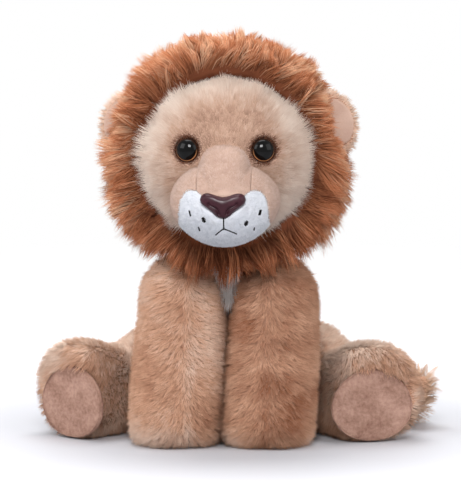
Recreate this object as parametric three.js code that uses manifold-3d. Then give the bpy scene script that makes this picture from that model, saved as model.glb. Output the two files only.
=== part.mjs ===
// A sitting plush lion. Millimetres, +Z up, facing -Y, left and right are the lion's own (left is +X).
// The origin lies on the floor, at the middle of the seat panel.
import * as THREE from 'three';
import { mergeVertices } from 'three/addons/utils/BufferGeometryUtils.js';
import Module from 'manifold-3d';

const wasm = await Module();
wasm.setup();

// Gaps and cutters
const clearance = 0.3;
const jointGap = 0.8;
const overrun = 60;
const weld = 0.0001;

// Body
const torsoWidth = 136;
const torsoDepth = 106;
const torsoHeight = 174;
const torsoDrop = 8;
const torsoDome = 35;
const torsoWidthShares = [0.88, 0.96, 1, 0.985, 0.91, 0.815, 0.69, 0.52, 0.42];
const torsoDepthShares = [0.91, 0.98, 1, 0.98, 0.94, 0.86, 0.73, 0.57, 0.5];
const torsoLeanShares = [-0.04, -0.02, 0, 0.03, 0.16, 0.44, 0.76, 1, 1.08];

// Seat panel, with the pouch of plastic pellets that weighs the seat down
const seatPanelThick = 3;
const seatPanelWidth = 96;
const seatPanelDepth = 78;
const pouchWidth = 70;
const pouchDepth = 56;
const pouchHeight = 24;

// White chest panel
const chestPanelThick = 4;
const chestPanelWidth = 34;
const chestPanelPoint = 9;

// Neck
const neckForward = 50;
const neckRise = 150;
const neckRadius = 26;
const collarDrop = 5.5;
const headLift = 1;
const neckTaper = 6;

// Head
const headWidth = 126;
const headDepth = 108;
const headHeight = 116;
const headForward = 72;
const headRise = 206;

// Muzzle
const muzzleWidth = 74;
const muzzleHeight = 66;
const muzzleReach = 32.5;
const muzzleRoot = 30;
const muzzleDrop = 22;
const muzzleDome = 20;
const muzzleWidthShares = [0.96, 1, 1, 0.94, 0.84];
const muzzleHeightShares = [0.96, 1, 1.01, 0.8, 0.54];
const muzzleLowerShares = [0, 0, 0.02, 0.25, 0.46];
const muzzleSlope = 28;
const bridgeWidth = 37;
const cheekDrop = 28;
const cheekHeight = 57;
const cheekHeightShares = [0.96, 1, 1, 0.88, 0.68];
const cheekSlope = 7;
const cheekLowerShares = [0, 0, 0.1, 0.5, 1];
const cheekNarrowShare = 0.12;
const snoutWidth = 61;
const snoutTop = 18.5;
const snoutCorner = 18;
const snoutLobe = 21.5;
const snoutDip = 9;
const snoutDipHalf = 10;

// Nose, a moulded safety nose with a stem and a washer
const noseWidth = 31.6;
const noseHeight = 17;
const noseDepth = 8;
const noseSink = 4.5;
const noseDrop = 28;
const noseTopShares = [[0, 0.34], [0.3, 0.41], [0.62, 0.5], [0.88, 0.46], [1, 0.28]];
const noseLowShares = [[0.94, 0.08], [0.72, -0.08], [0.47, -0.26], [0.27, -0.44], [0.1, -0.51]];
const noseRimShares = [[0.94, 0], [1, 0.14], [1, 0.34], [0.95, 0.6], [0.84, 0.8], [0.66, 0.92], [0.42, 0.98], [0.2, 1]];
const nostrilRadius = 1.1;
const nostrilSink = 0.35;
const nostrilShares = [[0.66, 0.14], [0.56, 0.02], [0.42, -0.04], [0.3, -0.1], [0.2, -0.22], [0.15, -0.36]];
const noseStemRadius = 2.6;
const noseStemLength = 13;
const noseWasherRadius = 8;

// Eyes, moulded safety eyes with a stem and a washer
const eyeDiameter = 16;
const eyeDome = 5.6;
const eyeRim = 1.4;
const eyeSink = 0.8;
const eyeSpread = 26.2;
const eyeRise = 8;
const eyeTurn = 15;
const eyeStemRadius = 2;
const eyeStemLength = 11;
const washerRadius = 6.5;
const washerThick = 1.6;
const coverThick = 2.5;

// Mane, a ring round the face in four pieces, and the back of the head
const maneRadius = 79;
const maneBibRadius = 69;
const maneInner = 55;
const maneDepth = 40;
const maneForward = 12;
const maneSplit = 7;
const maneBackDepth = 68;
const maneEarDip = 8;
const tuftHeight = 3.4;
const tuftCount = 14;
const crownAngle = 52;
const bibAngle = 52;
const bibBack = 42;
const bibRoot = 8;

// Ears
const earWidth = 47;
const earLength = 31;
const earThick = 8;
const earAngle = 18;
const earSwing = 15;
const earSpread = 22;
const earWidthShares = [0.84, 0.96, 1, 0.98, 0.9];
const earRound = 0.55;
const earThickShares = [1, 1, 0.95, 0.9, 0.84];
const liningWidth = 35;
const liningLength = 22;
const liningThick = 3.6;
const liningRise = 4.5;
const liningProud = 0.6;

// Front legs
const shoulderSpread = 32.5;
const shoulderForward = 62;
const shoulderRise = 106;
const shoulderRadius = 29.5;
const frontPawForward = 86;
const frontPawShift = 5;
const frontPawShiftShares = [0, 0, 0, 0.1, 0.28, 0.5, 0.72, 0.9, 1];
const frontLegHalfWidth = 31.5;
const frontLegHalfDepth = 28.6;
const frontLegWidthShares = [0, 0, 0, 0.3, 0.8, 1, 0.9, 0.6, 0.4];
const frontLegDepthShares = [0, 0, 0, 0.4, 0.9, 0.8, 0, -2, -3];
const frontPawTuck = 7;
const frontPawTuckShares = [0, 0, 0, 0, 0, 0, 0.2, 0.7, 1];
const frontPawDome = 22;
const frontPawDrop = 6;

// Hind legs
const hipSpread = 52;
const hipBack = 22;
const hipRise = 42;
const hipRadius = 38;
const hipInset = 16;
const hindLegLength = 98.5;
const leftLegAngle = 31;
const rightLegAngle = 38.6;
const hindFootDrop = 0.5;
const hindLegWidthShares = [0.92, 0.92, 0.9, 0.86, 0.86, 0.92, 0.97, 0.98];
const hindLegHeightShares = [1, 1, 0.96, 0.87, 0.83, 0.88, 0.94, 0.95];
const hindFootDome = 6;
const leftSoleTurn = 15;
const rightSoleTurn = 40;
const hipSwing = 20;

// Sole pads
const soleWidth = 61;
const soleHeight = 53;
const soleThick = 5;
const soleRise = 27.2;
const soleNarrowShare = 0.08;
const soleSink = 3;
const soleBevel = 1.6;

// Tail
const tailRadius = 8.5;
const tailRootBack = 50;
const tailRise = 10;
const tailSweep = 100;
const tailTrail = 26;
const tuftRadius = 13.5;
const tuftLength = 42;
const tuftLift = 20;
const tuftShares = [0.66, 0.92, 1, 0.96, 0.8, 0.5];
const tuftRiseShares = [0.2, 0.8, 1];

// Facets
const torsoSides = 26;
const legSides = 20;
const headSides = 28;
const maneSides = 12;
const roundSides = 18;
const ballSides = 20;
const noseSides = 30;

const materials = {
  fur: { color: 0xc9a07e, roughness: 0.95, metalness: 0 },
  face: { color: 0xd8bda0, roughness: 0.95, metalness: 0 },
  mane: { color: 0x9c5f35, roughness: 0.95, metalness: 0 },
  velour: { color: 0xd3ab90, roughness: 0.9, metalness: 0 },
  white: { color: 0xe9ecee, roughness: 0.9, metalness: 0 },
  sole: { color: 0xb08a78, roughness: 0.9, metalness: 0 },
  nose: { color: 0x4a2428, roughness: 0.3, metalness: 0 },
  eye: { color: 0x120c0a, roughness: 0.08, metalness: 0 },
  plastic: { color: 0xf0f0ee, roughness: 0.5, metalness: 0 },
  filling: { color: 0xf2f2f0, roughness: 1, metalness: 0 },
};

// A closed mesh as a solid, and a solid as a geometry
function solid(geometry) {
  const plain = geometry.clone();
  plain.deleteAttribute('normal');
  plain.deleteAttribute('uv');
  const merged = mergeVertices(plain, weld);
  const triVerts = Uint32Array.from(merged.index.array);
  const vertProperties = Float32Array.from(merged.attributes.position.array);
  return new wasm.Manifold(new wasm.Mesh({ numProp: 3, vertProperties, triVerts }));
}

function geometryOf(body) {
  const found = body.getMesh();
  const geometry = new THREE.BufferGeometry();
  geometry.setAttribute('position', new THREE.BufferAttribute(Float32Array.from(found.vertProperties), 3));
  geometry.setIndex(new THREE.BufferAttribute(Uint32Array.from(found.triVerts), 1));
  return geometry;
}

// Turns the faces of a closed geometry outward
function outward(geometry) {
  const point = geometry.attributes.position;
  const index = geometry.index.array;
  const a = new THREE.Vector3();
  const b = new THREE.Vector3();
  const c = new THREE.Vector3();
  let volume = 0;
  for (let i = 0; i < index.length; i += 3) {
    a.fromBufferAttribute(point, index[i]);
    b.fromBufferAttribute(point, index[i + 1]);
    c.fromBufferAttribute(point, index[i + 2]);
    volume += a.dot(b.cross(c));
  }
  if (volume < 0) {
    for (let i = 0; i < index.length; i += 3) {
      [index[i + 1], index[i + 2]] = [index[i + 2], index[i + 1]];
    }
  }
  return geometry;
}

// A closed skin through rings of points, with a pole point at each end
function skin(rings, first, last) {
  const sides = rings[0].length;
  const points = [first, ...rings.flat(), last];
  const index = [];
  for (let j = 0; j < sides; j += 1) {
    const next = (j + 1) % sides;
    index.push(0, 1 + next, 1 + j);
    for (let i = 0; i + 1 < rings.length; i += 1) {
      const low = 1 + i * sides;
      const high = low + sides;
      index.push(low + j, low + next, high + next);
      index.push(low + j, high + next, high + j);
    }
    const end = 1 + (rings.length - 1) * sides;
    index.push(end + j, end + next, points.length - 1);
  }
  const geometry = new THREE.BufferGeometry().setFromPoints(points);
  geometry.setIndex(index);
  return outward(geometry);
}

// A smooth value from a table of evenly spaced shares
function fromTable(shares, t) {
  const last = shares.length - 1;
  const x = Math.min(Math.max(t, 0), 1) * last;
  const i = Math.min(Math.floor(x), last - 1);
  const f = x - i;
  const p0 = shares[Math.max(i - 1, 0)];
  const p1 = shares[i];
  const p2 = shares[i + 1];
  const p3 = shares[Math.min(i + 2, last)];
  const m1 = (p2 - p0) / 2;
  const m2 = (p3 - p1) / 2;
  const f2 = f * f;
  const f3 = f2 * f;
  return (2 * f3 - 3 * f2 + 1) * p1 + (f3 - 2 * f2 + f) * m1 + (3 * f2 - 2 * f3) * p2 + (f3 - f2) * m2;
}

// A stuffed form: rounded sections along a spine that swell and taper, with a dome or a flat at each end.
// size(t) gives a section's half sizes and shift(t) its offset, both along the side and the deep direction.
function stuffed(form) {
  const { spine, side, deep, size, shift, startDome = 0, endDome = 0 } = form;
  const { square = 2.2, steps = 8, domeSteps = 5 } = form;
  const length = spine.getLength();
  const startShare = startDome / length;
  const endShare = endDome / length;
  const stations = [];
  for (let i = 1; i <= domeSteps && startDome > 0; i += 1) {
    const turn = (i / domeSteps) * (Math.PI / 2);
    stations.push([startShare * (1 - Math.cos(turn)), Math.sin(turn)]);
  }
  const first = startDome > 0 ? 1 : 0;
  const lastStep = endDome > 0 ? steps - 1 : steps;
  for (let i = first; i <= lastStep; i += 1) {
    stations.push([startShare + (1 - startShare - endShare) * (i / steps), 1]);
  }
  for (let i = domeSteps; i >= 1 && endDome > 0; i -= 1) {
    const turn = (i / domeSteps) * (Math.PI / 2);
    stations.push([1 - endShare * (1 - Math.cos(turn)), Math.sin(turn)]);
  }
  const frame = (t) => {
    const tangent = spine.getTangentAt(Math.min(Math.max(t, 0), 1));
    const across = side ? side.clone() : new THREE.Vector3().crossVectors(tangent, deep);
    const down = deep ? deep.clone() : new THREE.Vector3().crossVectors(tangent, across);
    const offset = shift ? shift(t) : [0, 0];
    const centre = spine.getPointAt(Math.min(Math.max(t, 0), 1));
    centre.addScaledVector(across.normalize(), offset[0]).addScaledVector(down.normalize(), offset[1]);
    return { across, down, centre };
  };
  const round = (value) => Math.sign(value) * Math.abs(value) ** (2 / square);
  const rings = stations.map(([t, dome]) => {
    const { across, down, centre } = frame(t);
    const ring = [];
    for (let j = 0; j < form.sides; j += 1) {
      const turn = (j / form.sides) * Math.PI * 2;
      const half = size(t, turn);
      const point = centre.clone();
      point.addScaledVector(across, half[0] * dome * round(Math.cos(turn)));
      point.addScaledVector(down, half[1] * dome * round(Math.sin(turn)));
      ring.push(point);
    }
    return ring;
  });
  return skin(rings, frame(0).centre, frame(1).centre);
}

// A form turned round +Z from a closed profile of [radius, height] points that starts and ends on the axis
function turned(profile) {
  const points = profile.map(([radius, height]) => new THREE.Vector2(radius, height));
  const geometry = new THREE.LatheGeometry(points, roundSides);
  geometry.rotateX(Math.PI / 2);
  const plain = mergeVertices(stripped(geometry), weld);
  return outward(withoutSlivers(plain));
}

function stripped(geometry) {
  geometry.deleteAttribute('normal');
  geometry.deleteAttribute('uv');
  return geometry;
}

// Drops the triangles that merging closed up
function withoutSlivers(geometry) {
  const index = geometry.index.array;
  const kept = [];
  for (let i = 0; i < index.length; i += 3) {
    const [a, b, c] = [index[i], index[i + 1], index[i + 2]];
    if (a !== b && b !== c && c !== a) kept.push(a, b, c);
  }
  geometry.setIndex(kept);
  return geometry;
}

// A plate from an outline in the XY plane, from z = 0 up
function plate(outline, thick, bevel = 0) {
  const geometry = new THREE.ExtrudeGeometry(outline, {
    depth: thick - 2 * bevel,
    bevelEnabled: bevel > 0,
    bevelThickness: bevel,
    bevelSize: bevel,
    bevelOffset: -bevel,
    bevelSegments: 2,
    curveSegments: 12,
  });
  geometry.translate(0, 0, bevel);
  return geometry;
}

function ball(radius, centre) {
  const geometry = new THREE.SphereGeometry(radius, ballSides, ballSides * 0.6);
  geometry.translate(centre.x, centre.y, centre.z);
  return outward(withoutSlivers(mergeVertices(stripped(geometry), weld)));
}

// A block that runs from low to high corners
function block(low, high) {
  const geometry = new THREE.BoxGeometry(high.x - low.x, high.y - low.y, high.z - low.z);
  geometry.translate((low.x + high.x) / 2, (low.y + high.y) / 2, (low.z + high.z) / 2);
  return geometry;
}

function polygon(points) {
  return new THREE.Shape(points.map(([x, y]) => new THREE.Vector2(x, y)));
}

function egg(halfWidth, halfHeight, narrow) {
  const points = [];
  for (let j = 0; j < roundSides; j += 1) {
    const turn = (j / roundSides) * Math.PI * 2;
    const rise = Math.sin(turn);
    points.push([halfWidth * Math.cos(turn) * (1 - narrow * rise), halfHeight * rise]);
  }
  return polygon(points);
}

const degrees = Math.PI / 180;
const seam = clearance / 2;
const xAxis = new THREE.Vector3(1, 0, 0);
const yAxis = new THREE.Vector3(0, 1, 0);
const zAxis = new THREE.Vector3(0, 0, 1);

// The floor, for what sits flat on it
const floorCutter = solid(block(
  new THREE.Vector3(-4 * overrun, -4 * overrun, -overrun),
  new THREE.Vector3(4 * overrun, 4 * overrun, 0),
));

// Torso form, lean included
const neck = new THREE.Vector3(0, -neckForward, neckRise);

function torsoForm(grow) {
  return stuffed({
    spine: new THREE.LineCurve3(
      new THREE.Vector3(0, 0, -torsoDrop - grow),
      new THREE.Vector3(0, 0, torsoHeight - torsoDrop + grow),
    ),
    side: xAxis,
    deep: yAxis,
    size: (t) => [
      (torsoWidth / 2) * fromTable(torsoWidthShares, t) + grow,
      (torsoDepth / 2) * fromTable(torsoDepthShares, t) + grow,
    ],
    shift: (t) => [0, -neckForward * fromTable(torsoLeanShares, t)],
    startDome: torsoDome,
    endDome: torsoDome,
    steps: 13,
    sides: torsoSides,
  });
}

// Head form
const headCentre = new THREE.Vector3(0, -headForward, headRise);

function headForm(grow) {
  const half = headHeight / 2 + grow;
  return stuffed({
    spine: new THREE.LineCurve3(
      new THREE.Vector3(0, -headForward, headRise - half),
      new THREE.Vector3(0, -headForward, headRise + half),
    ),
    side: xAxis,
    deep: yAxis,
    size: () => [headWidth / 2 + grow, headDepth / 2 + grow],
    startDome: half,
    endDome: half,
    steps: 1,
    sides: headSides,
  });
}

// Cones that open the gap between the neck's collar and the head: below for the torso, above for the head
function neckCone(drop, slope) {
  const reach = 2 * overrun;
  const fall = reach * Math.tan(neckTaper * degrees);
  const profile = [[0, 0], [reach, -fall], [reach, reach], [0, reach]];
  const geometry = turned(profile);
  if (slope < 0) geometry.rotateX(Math.PI);
  geometry.translate(neck.x, neck.y, neck.z + drop);
  return solid(geometry);
}

const aboveCollar = neckCone(-collarDrop, 1);
const belowHead = neckCone(headLift, -1);

// Muzzle form, on the face
const muzzleStart = headForward + headDepth / 2 - muzzleRoot;
const muzzleEnd = headForward + headDepth / 2 + muzzleReach;

// One form of the muzzle along Y: its half width, its middle and height, and how both change toward the nose.
// Below its middle it narrows like an egg.
function muzzleLobe(grow, lobe) {
  const { half, drop, height, heightShares, slope, lowerShares, narrow, square } = lobe;
  return solid(stuffed({
    spine: new THREE.LineCurve3(
      new THREE.Vector3(0, -muzzleStart + grow, headRise - drop),
      new THREE.Vector3(0, -muzzleEnd - grow, headRise - drop),
    ),
    side: xAxis,
    deep: zAxis,
    size: (t, turn) => [
      half * fromTable(muzzleWidthShares, t) * (1 - narrow * Math.max(0, -Math.sin(turn))) + grow,
      (height / 2) * fromTable(heightShares, t) + grow,
    ],
    shift: (t) => [0, -slope * fromTable(lowerShares, t)],
    startDome: muzzleDome,
    endDome: muzzleDome,
    square,
    steps: 3,
    sides: headSides,
  }));
}

// A narrow bridge between the eyes, over two round cheeks
function muzzleForm(grow) {
  const bridge = muzzleLobe(grow, {
    half: bridgeWidth / 2,
    drop: muzzleDrop,
    height: muzzleHeight,
    heightShares: muzzleHeightShares,
    slope: muzzleSlope,
    lowerShares: muzzleLowerShares,
    narrow: 0,
    square: 3,
  });
  const cheeks = muzzleLobe(grow, {
    half: muzzleWidth / 2,
    drop: cheekDrop,
    height: cheekHeight,
    heightShares: cheekHeightShares,
    slope: cheekSlope,
    lowerShares: cheekLowerShares,
    narrow: cheekNarrowShare,
    square: 2,
  });
  return bridge.add(cheeks);
}

// A prism along Y from an outline in the front view (x, z)
function frontPrism(outline, nearY, farY) {
  const geometry = plate(outline, farY - nearY);
  geometry.rotateX(Math.PI / 2);
  geometry.translate(0, farY, 0);
  return solid(geometry);
}

// A prism along X from an outline in the side view (y, z)
function sidePrism(points, lowX, highX) {
  const geometry = plate(polygon(points), highX - lowX);
  geometry.rotateX(Math.PI / 2);
  geometry.rotateZ(Math.PI / 2);
  geometry.translate(lowX, 0, 0);
  return solid(geometry);
}

// White snout area in the front view: a lobe on each side of the nose, and a dip behind it
function snoutOutline(grow) {
  const half = snoutWidth / 2 + grow;
  const top = headRise - snoutTop + grow;
  const low = headRise - muzzleDrop - muzzleHeight;
  const corner = snoutCorner + grow;
  const dip = top - snoutDip;
  const outline = new THREE.Shape();
  outline.moveTo(-half, low);
  outline.lineTo(half, low);
  outline.lineTo(half, top - corner);
  outline.quadraticCurveTo(half, top, snoutLobe, top);
  outline.quadraticCurveTo((snoutLobe + snoutDipHalf) / 2, top, snoutDipHalf, dip);
  outline.lineTo(-snoutDipHalf, dip);
  outline.quadraticCurveTo(-(snoutLobe + snoutDipHalf) / 2, top, -snoutLobe, top);
  outline.quadraticCurveTo(-half, top, -half, top - corner);
  return outline;
}

// Nose outline, in its own plane
function noseOutline(grow) {
  const half = noseWidth / 2 + grow;
  const high = noseHeight + 2 * grow;
  const right = [...noseTopShares, ...noseLowShares];
  const left = right.slice(1).reverse();
  const points = [
    ...right.map(([x, y]) => new THREE.Vector3(x * half, y * high, 0)),
    ...left.map(([x, y]) => new THREE.Vector3(-x * half, y * high, 0)),
  ];
  const curve = new THREE.CatmullRomCurve3(points, true, 'catmullrom', 0.5);
  return curve.getSpacedPoints(noseSides).slice(0, noseSides);
}

// A nose with a soft domed front: rings of the outline drawn in toward its middle
function noseForm() {
  const outline = noseOutline(0);
  const rings = noseRimShares.map(([draw, rise]) => outline.map(
    (point) => new THREE.Vector3(point.x * draw, point.y * draw, noseDepth * rise),
  ));
  return skin(rings, new THREE.Vector3(0, 0, 0), new THREE.Vector3(0, 0, noseDepth));
}

// How high the domed front stands over a point of the nose's plane
function noseFront(x, y) {
  const turned = (point) => Math.abs(Math.atan2(point.x * y - point.y * x, point.x * x + point.y * y));
  const rim = noseOutline(0).reduce((best, point) => (turned(point) < turned(best) ? point : best));
  const share = Math.hypot(x, y) / Math.hypot(rim.x, rim.y);
  const inner = Math.max(noseRimShares.findIndex(([draw], i) => i > 2 && draw <= share), 3);
  const [outerDraw, outerRise] = noseRimShares[inner - 1];
  const [innerDraw, innerRise] = noseRimShares[inner];
  const part = (outerDraw - share) / (outerDraw - innerDraw);
  return noseDepth * (outerRise + (innerRise - outerRise) * part);
}

// A nostril, a groove that follows the front from the wing of the nose down to its foot
function nostril(side) {
  const points = nostrilShares.map(([shareX, shareY]) => {
    const x = shareX * (noseWidth / 2);
    const y = shareY * noseHeight;
    return new THREE.Vector3(side * x, y, noseFront(x, y) - nostrilSink);
  });
  const path = new THREE.CatmullRomCurve3(points);
  const section = new THREE.Shape();
  section.absarc(0, 0, nostrilRadius, 0, Math.PI * 2);
  const geometry = new THREE.ExtrudeGeometry(section, { steps: 14, curveSegments: 4, extrudePath: path });
  return solid(outward(withoutSlivers(mergeVertices(stripped(geometry), weld))));
}

// Places: a matrix whose +Z points the given way from the given point
function facing(point, direction, up = zAxis) {
  const z = direction.clone().normalize();
  const x = new THREE.Vector3().crossVectors(up, z).normalize();
  const y = new THREE.Vector3().crossVectors(z, x);
  return new THREE.Matrix4().makeBasis(x, y, z).setPosition(point);
}

// Where a ray from the middle of the head meets its surface, seen from the front at x and z
function faceDepth(x, z) {
  const part = 1 - (2 * x / headWidth) ** 2 - (2 * z / headHeight) ** 2;
  return -headForward - (headDepth / 2) * Math.sqrt(Math.max(part, 0));
}

const nosePlace = facing(
  new THREE.Vector3(0, -muzzleEnd + noseSink, headRise - noseDrop),
  new THREE.Vector3(0, -1, 0),
);

function eyePlace(side) {
  const point = new THREE.Vector3(side * eyeSpread, faceDepth(eyeSpread, eyeRise), headRise + eyeRise);
  const away = new THREE.Vector3(side * Math.sin(eyeTurn * degrees), -Math.cos(eyeTurn * degrees), 0);
  point.addScaledVector(away, -eyeSink);
  return facing(point, away);
}

function eyeForm() {
  const radius = eyeDiameter / 2;
  const profile = [[0, -eyeStemLength], [eyeStemRadius, -eyeStemLength], [eyeStemRadius, 0], [radius, 0]];
  const domeSteps = 7;
  for (let i = 0; i <= domeSteps; i += 1) {
    const turn = (i / domeSteps) * (Math.PI / 2);
    const reach = i === domeSteps ? 0 : radius * Math.cos(turn);
    profile.push([reach, eyeRim + eyeDome * Math.sin(turn)]);
  }
  return turned(profile);
}

// A washer that grips a stem, under the cover
function washerForm(stemRadius, radius) {
  const bore = stemRadius + clearance;
  const top = -coverThick - clearance;
  return turned([
    [bore, top - 2 * washerThick],
    [bore + washerThick, top - 2 * washerThick],
    [bore + washerThick, top - washerThick],
    [radius, top - washerThick],
    [radius, top],
    [bore, top],
    [bore, top - 2 * washerThick],
  ]);
}

// The room for a stem and its washer inside the stuffing
function stemRoom(stemRadius, stemLength, radius) {
  const bore = stemRadius + clearance;
  const room = radius + clearance;
  const deepest = -stemLength - clearance;
  return turned([
    [0, deepest],
    [bore, deepest],
    [bore, -coverThick - 2 * washerThick - 2 * clearance],
    [room, -coverThick - 2 * washerThick - 2 * clearance],
    [room, -coverThick],
    [bore, -coverThick],
    [bore, overrun],
    [0, overrun],
  ]);
}

function disc(radius, low, high) {
  return turned([[0, low], [radius, low], [radius, high], [0, high]]);
}

// Mane ring: sections round the face, whose outer edge stands in tufts. The angle runs from the top of the
// head toward the lion's left.
const maneMiddle = headForward + maneForward;
const maneBack = headForward - maneSplit;

function maneEdge(angle) {
  const fall = Math.max(0, -Math.cos(angle) - 0.25) / 0.75;
  const edge = maneRadius - (maneRadius - maneBibRadius) * fall * fall * (3 - 2 * fall);
  const fromEar = (Math.acos(Math.cos(angle)) / degrees - (90 - earAngle)) / earSpread;
  const dip = maneEarDip * Math.exp(-fromEar * fromEar);
  return edge - dip + tuftHeight * (1 - fall) * Math.abs(Math.sin((angle * tuftCount) / 2));
}

function maneRing(from, to, steps) {
  const rings = [];
  for (let i = 0; i <= steps; i += 1) {
    const angle = from + ((to - from) * i) / steps;
    const outer = maneEdge(angle);
    const middle = (outer + maneInner) / 2;
    const half = (outer - maneInner) / 2;
    const ring = [];
    for (let j = 0; j < maneSides; j += 1) {
      const turn = (j / maneSides) * Math.PI * 2;
      const reach = middle + half * Math.sign(Math.cos(turn)) * Math.abs(Math.cos(turn)) ** 0.8;
      const depth = -maneMiddle + (maneDepth / 2) * Math.sign(Math.sin(turn)) * Math.abs(Math.sin(turn)) ** 0.8;
      ring.push(new THREE.Vector3(reach * Math.sin(angle), depth, headRise + reach * Math.cos(angle)));
    }
    rings.push(ring);
  }
  const centre = (angle) => {
    const reach = (maneEdge(angle) + maneInner) / 2;
    return new THREE.Vector3(reach * Math.sin(angle), -maneMiddle, headRise + reach * Math.cos(angle));
  };
  return skin(rings, centre(from), centre(to));
}

function maneBackForm() {
  const half = maneRadius;
  return stuffed({
    spine: new THREE.LineCurve3(
      new THREE.Vector3(0, -maneBack, headRise - half),
      new THREE.Vector3(0, -maneBack, headRise + half),
    ),
    side: xAxis,
    deep: yAxis,
    size: (t, turn) => [maneRadius + tuftHeight * Math.abs(Math.sin(turn * 4)) * 0.6, maneBackDepth],
    startDome: half,
    endDome: half,
    steps: 1,
    sides: headSides,
  });
}

// Ears stand between the ring and the back, in the place where +Z points forward and +Y away from the head
function earPlace(side) {
  const angle = earAngle * degrees;
  const reach = 1 / Math.hypot((2 * Math.cos(angle)) / headWidth, (2 * Math.sin(angle)) / headHeight);
  const away = new THREE.Vector3(side * Math.cos(angle), 0, Math.sin(angle));
  const point = new THREE.Vector3(0, -maneBack, headRise).addScaledVector(away, reach + clearance + earThick / 2);
  return facing(point, new THREE.Vector3(0, -1, 0), away);
}

function earForm(width, length, thick, start, grow) {
  return stuffed({
    spine: new THREE.LineCurve3(
      new THREE.Vector3(0, start - grow, 0),
      new THREE.Vector3(0, start + length + grow, 0),
    ),
    side: xAxis,
    deep: zAxis,
    size: (t) => [
      (width / 2) * fromTable(earWidthShares, t) + grow,
      (thick / 2) * fromTable(earThickShares, t) + grow,
    ],
    startDome: thick / 2 + grow,
    endDome: length * earRound,
    steps: 3,
    domeSteps: 4,
    sides: 16,
  });
}

// The fan that an ear folds through, opened in the mane
function earRoom(side) {
  const reach = earLength + overrun;
  const half = earThick / 2 + liningProud + clearance;
  const spread = half + reach * Math.tan(earSwing * degrees);
  const width = earWidth + 4 * clearance;
  const geometry = plate(polygon([[-half, -earThick], [half, -earThick], [half, 0], [spread, reach], [-spread, reach],
    [-half, 0]]), width);
  geometry.translate(0, 0, -width / 2);
  geometry.rotateY(Math.PI / 2);
  geometry.applyMatrix4(earPlace(side));
  return solid(geometry);
}

// Front leg: a ball at the shoulder that runs into a column down to the paw
const shoulder = new THREE.Vector3(shoulderSpread, -shoulderForward, shoulderRise);

// Both paws stand a little toward the lion's right. Each leg is made on the left, and the right one is mirrored.
function frontLegForm(shift) {
  const paw = new THREE.Vector3(shoulderSpread, -frontPawForward, -frontPawDrop);
  const down = paw.clone().sub(shoulder).normalize();
  return stuffed({
    spine: new THREE.LineCurve3(shoulder.clone().addScaledVector(down, -shoulderRadius), paw),
    side: xAxis,
    size: (t) => [
      shoulderRadius + (frontLegHalfWidth - shoulderRadius) * fromTable(frontLegWidthShares, t),
      shoulderRadius + (frontLegHalfDepth - shoulderRadius) * fromTable(frontLegDepthShares, t),
    ],
    shift: (t) => [
      shift * fromTable(frontPawShiftShares, t),
      -frontPawTuck * fromTable(frontPawTuckShares, t),
    ],
    startDome: shoulderRadius,
    endDome: frontPawDome,
    square: 2,
    steps: 8,
    sides: legSides,
  });
}

// Hind leg: a round thigh at the hip, a narrower ankle and a foot that ends in the sole
const hip = new THREE.Vector3(hipSpread, hipBack, hipRise);

// The way a limb points over the floor, the axis of its hip, the turn of its sole, and the plane of the seam
// between thigh and torso, square to that axis. Both limbs are made on the left, and the right one is mirrored.
function hindLimb(angle, turn) {
  const way = new THREE.Vector3(Math.sin(angle * degrees), -Math.cos(angle * degrees), 0);
  const axis = new THREE.Vector3(-way.y, way.x, 0);
  const plane = facing(hip.clone().addScaledVector(axis, -hipInset), axis);
  return { way, axis, turn, plane };
}

function solePlace(limb) {
  const centre = hip.clone().addScaledVector(limb.way, hindLegLength);
  centre.z = 0;
  const turn = limb.turn * degrees;
  return facing(centre, new THREE.Vector3(Math.sin(turn), -Math.cos(turn), 0));
}

function hindLegForm(limb, grow) {
  const sole = solePlace(limb);
  const normal = new THREE.Vector3().setFromMatrixColumn(sole, 2);
  const end = new THREE.Vector3().setFromMatrixPosition(sole);
  const start = hip.clone().setZ(0);
  const spine = new THREE.CatmullRomCurve3([
    start.clone().addScaledVector(limb.way, -hipRadius - grow),
    start,
    start.clone().addScaledVector(limb.way, hindLegLength / 2),
    end.clone().addScaledVector(normal, -hindFootDome),
    end.clone().addScaledVector(normal, soleSink + grow),
  ]);
  return stuffed({
    spine,
    deep: zAxis,
    size: (t) => [
      hipRadius * fromTable(hindLegWidthShares, t) + grow,
      hipRadius * fromTable(hindLegHeightShares, t) + grow,
    ],
    shift: (t) => {
      const height = hipRadius * fromTable(hindLegHeightShares, t);
      const drop = Math.min(1, Math.max(0, (t - 0.3) / 0.3));
      return [0, height - hindFootDrop + (hipRise - hipRadius + hindFootDrop) * (1 - drop)];
    },
    startDome: hipRadius + grow,
    endDome: hindFootDome,
    steps: 8,
    sides: legSides,
  });
}

function hipCutter(limb) {
  const geometry = block(
    new THREE.Vector3(-4 * overrun, -4 * overrun, -4 * overrun),
    new THREE.Vector3(4 * overrun, 4 * overrun, seam),
  );
  geometry.applyMatrix4(limb.plane);
  return solid(geometry);
}

// The room that a thigh moves in, cut from the torso down to that plane
function hipRoom(limb) {
  const rest = new THREE.Shape();
  rest.absarc(0, 0, hipRadius + jointGap, 0, Math.PI * 2);
  const place = new THREE.Matrix4().makeBasis(zAxis, limb.way, limb.axis);
  place.setPosition(hip.clone().addScaledVector(limb.axis, -hipInset - seam));
  let room = solid(plate(rest, overrun + hipInset).applyMatrix4(place));
  [0, 0.5, 1].forEach((share) => {
    const bar = block(
      new THREE.Vector3(-hipRadius - jointGap, 0, 0),
      new THREE.Vector3(hipRadius + jointGap, 2 * overrun, overrun + hipInset),
    );
    bar.rotateZ(-hipSwing * share * degrees);
    room = room.add(solid(bar.applyMatrix4(place)));
  });
  return room;
}

const leftLimb = hindLimb(leftLegAngle, leftSoleTurn);
const rightLimb = hindLimb(rightLegAngle, rightSoleTurn);

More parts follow.
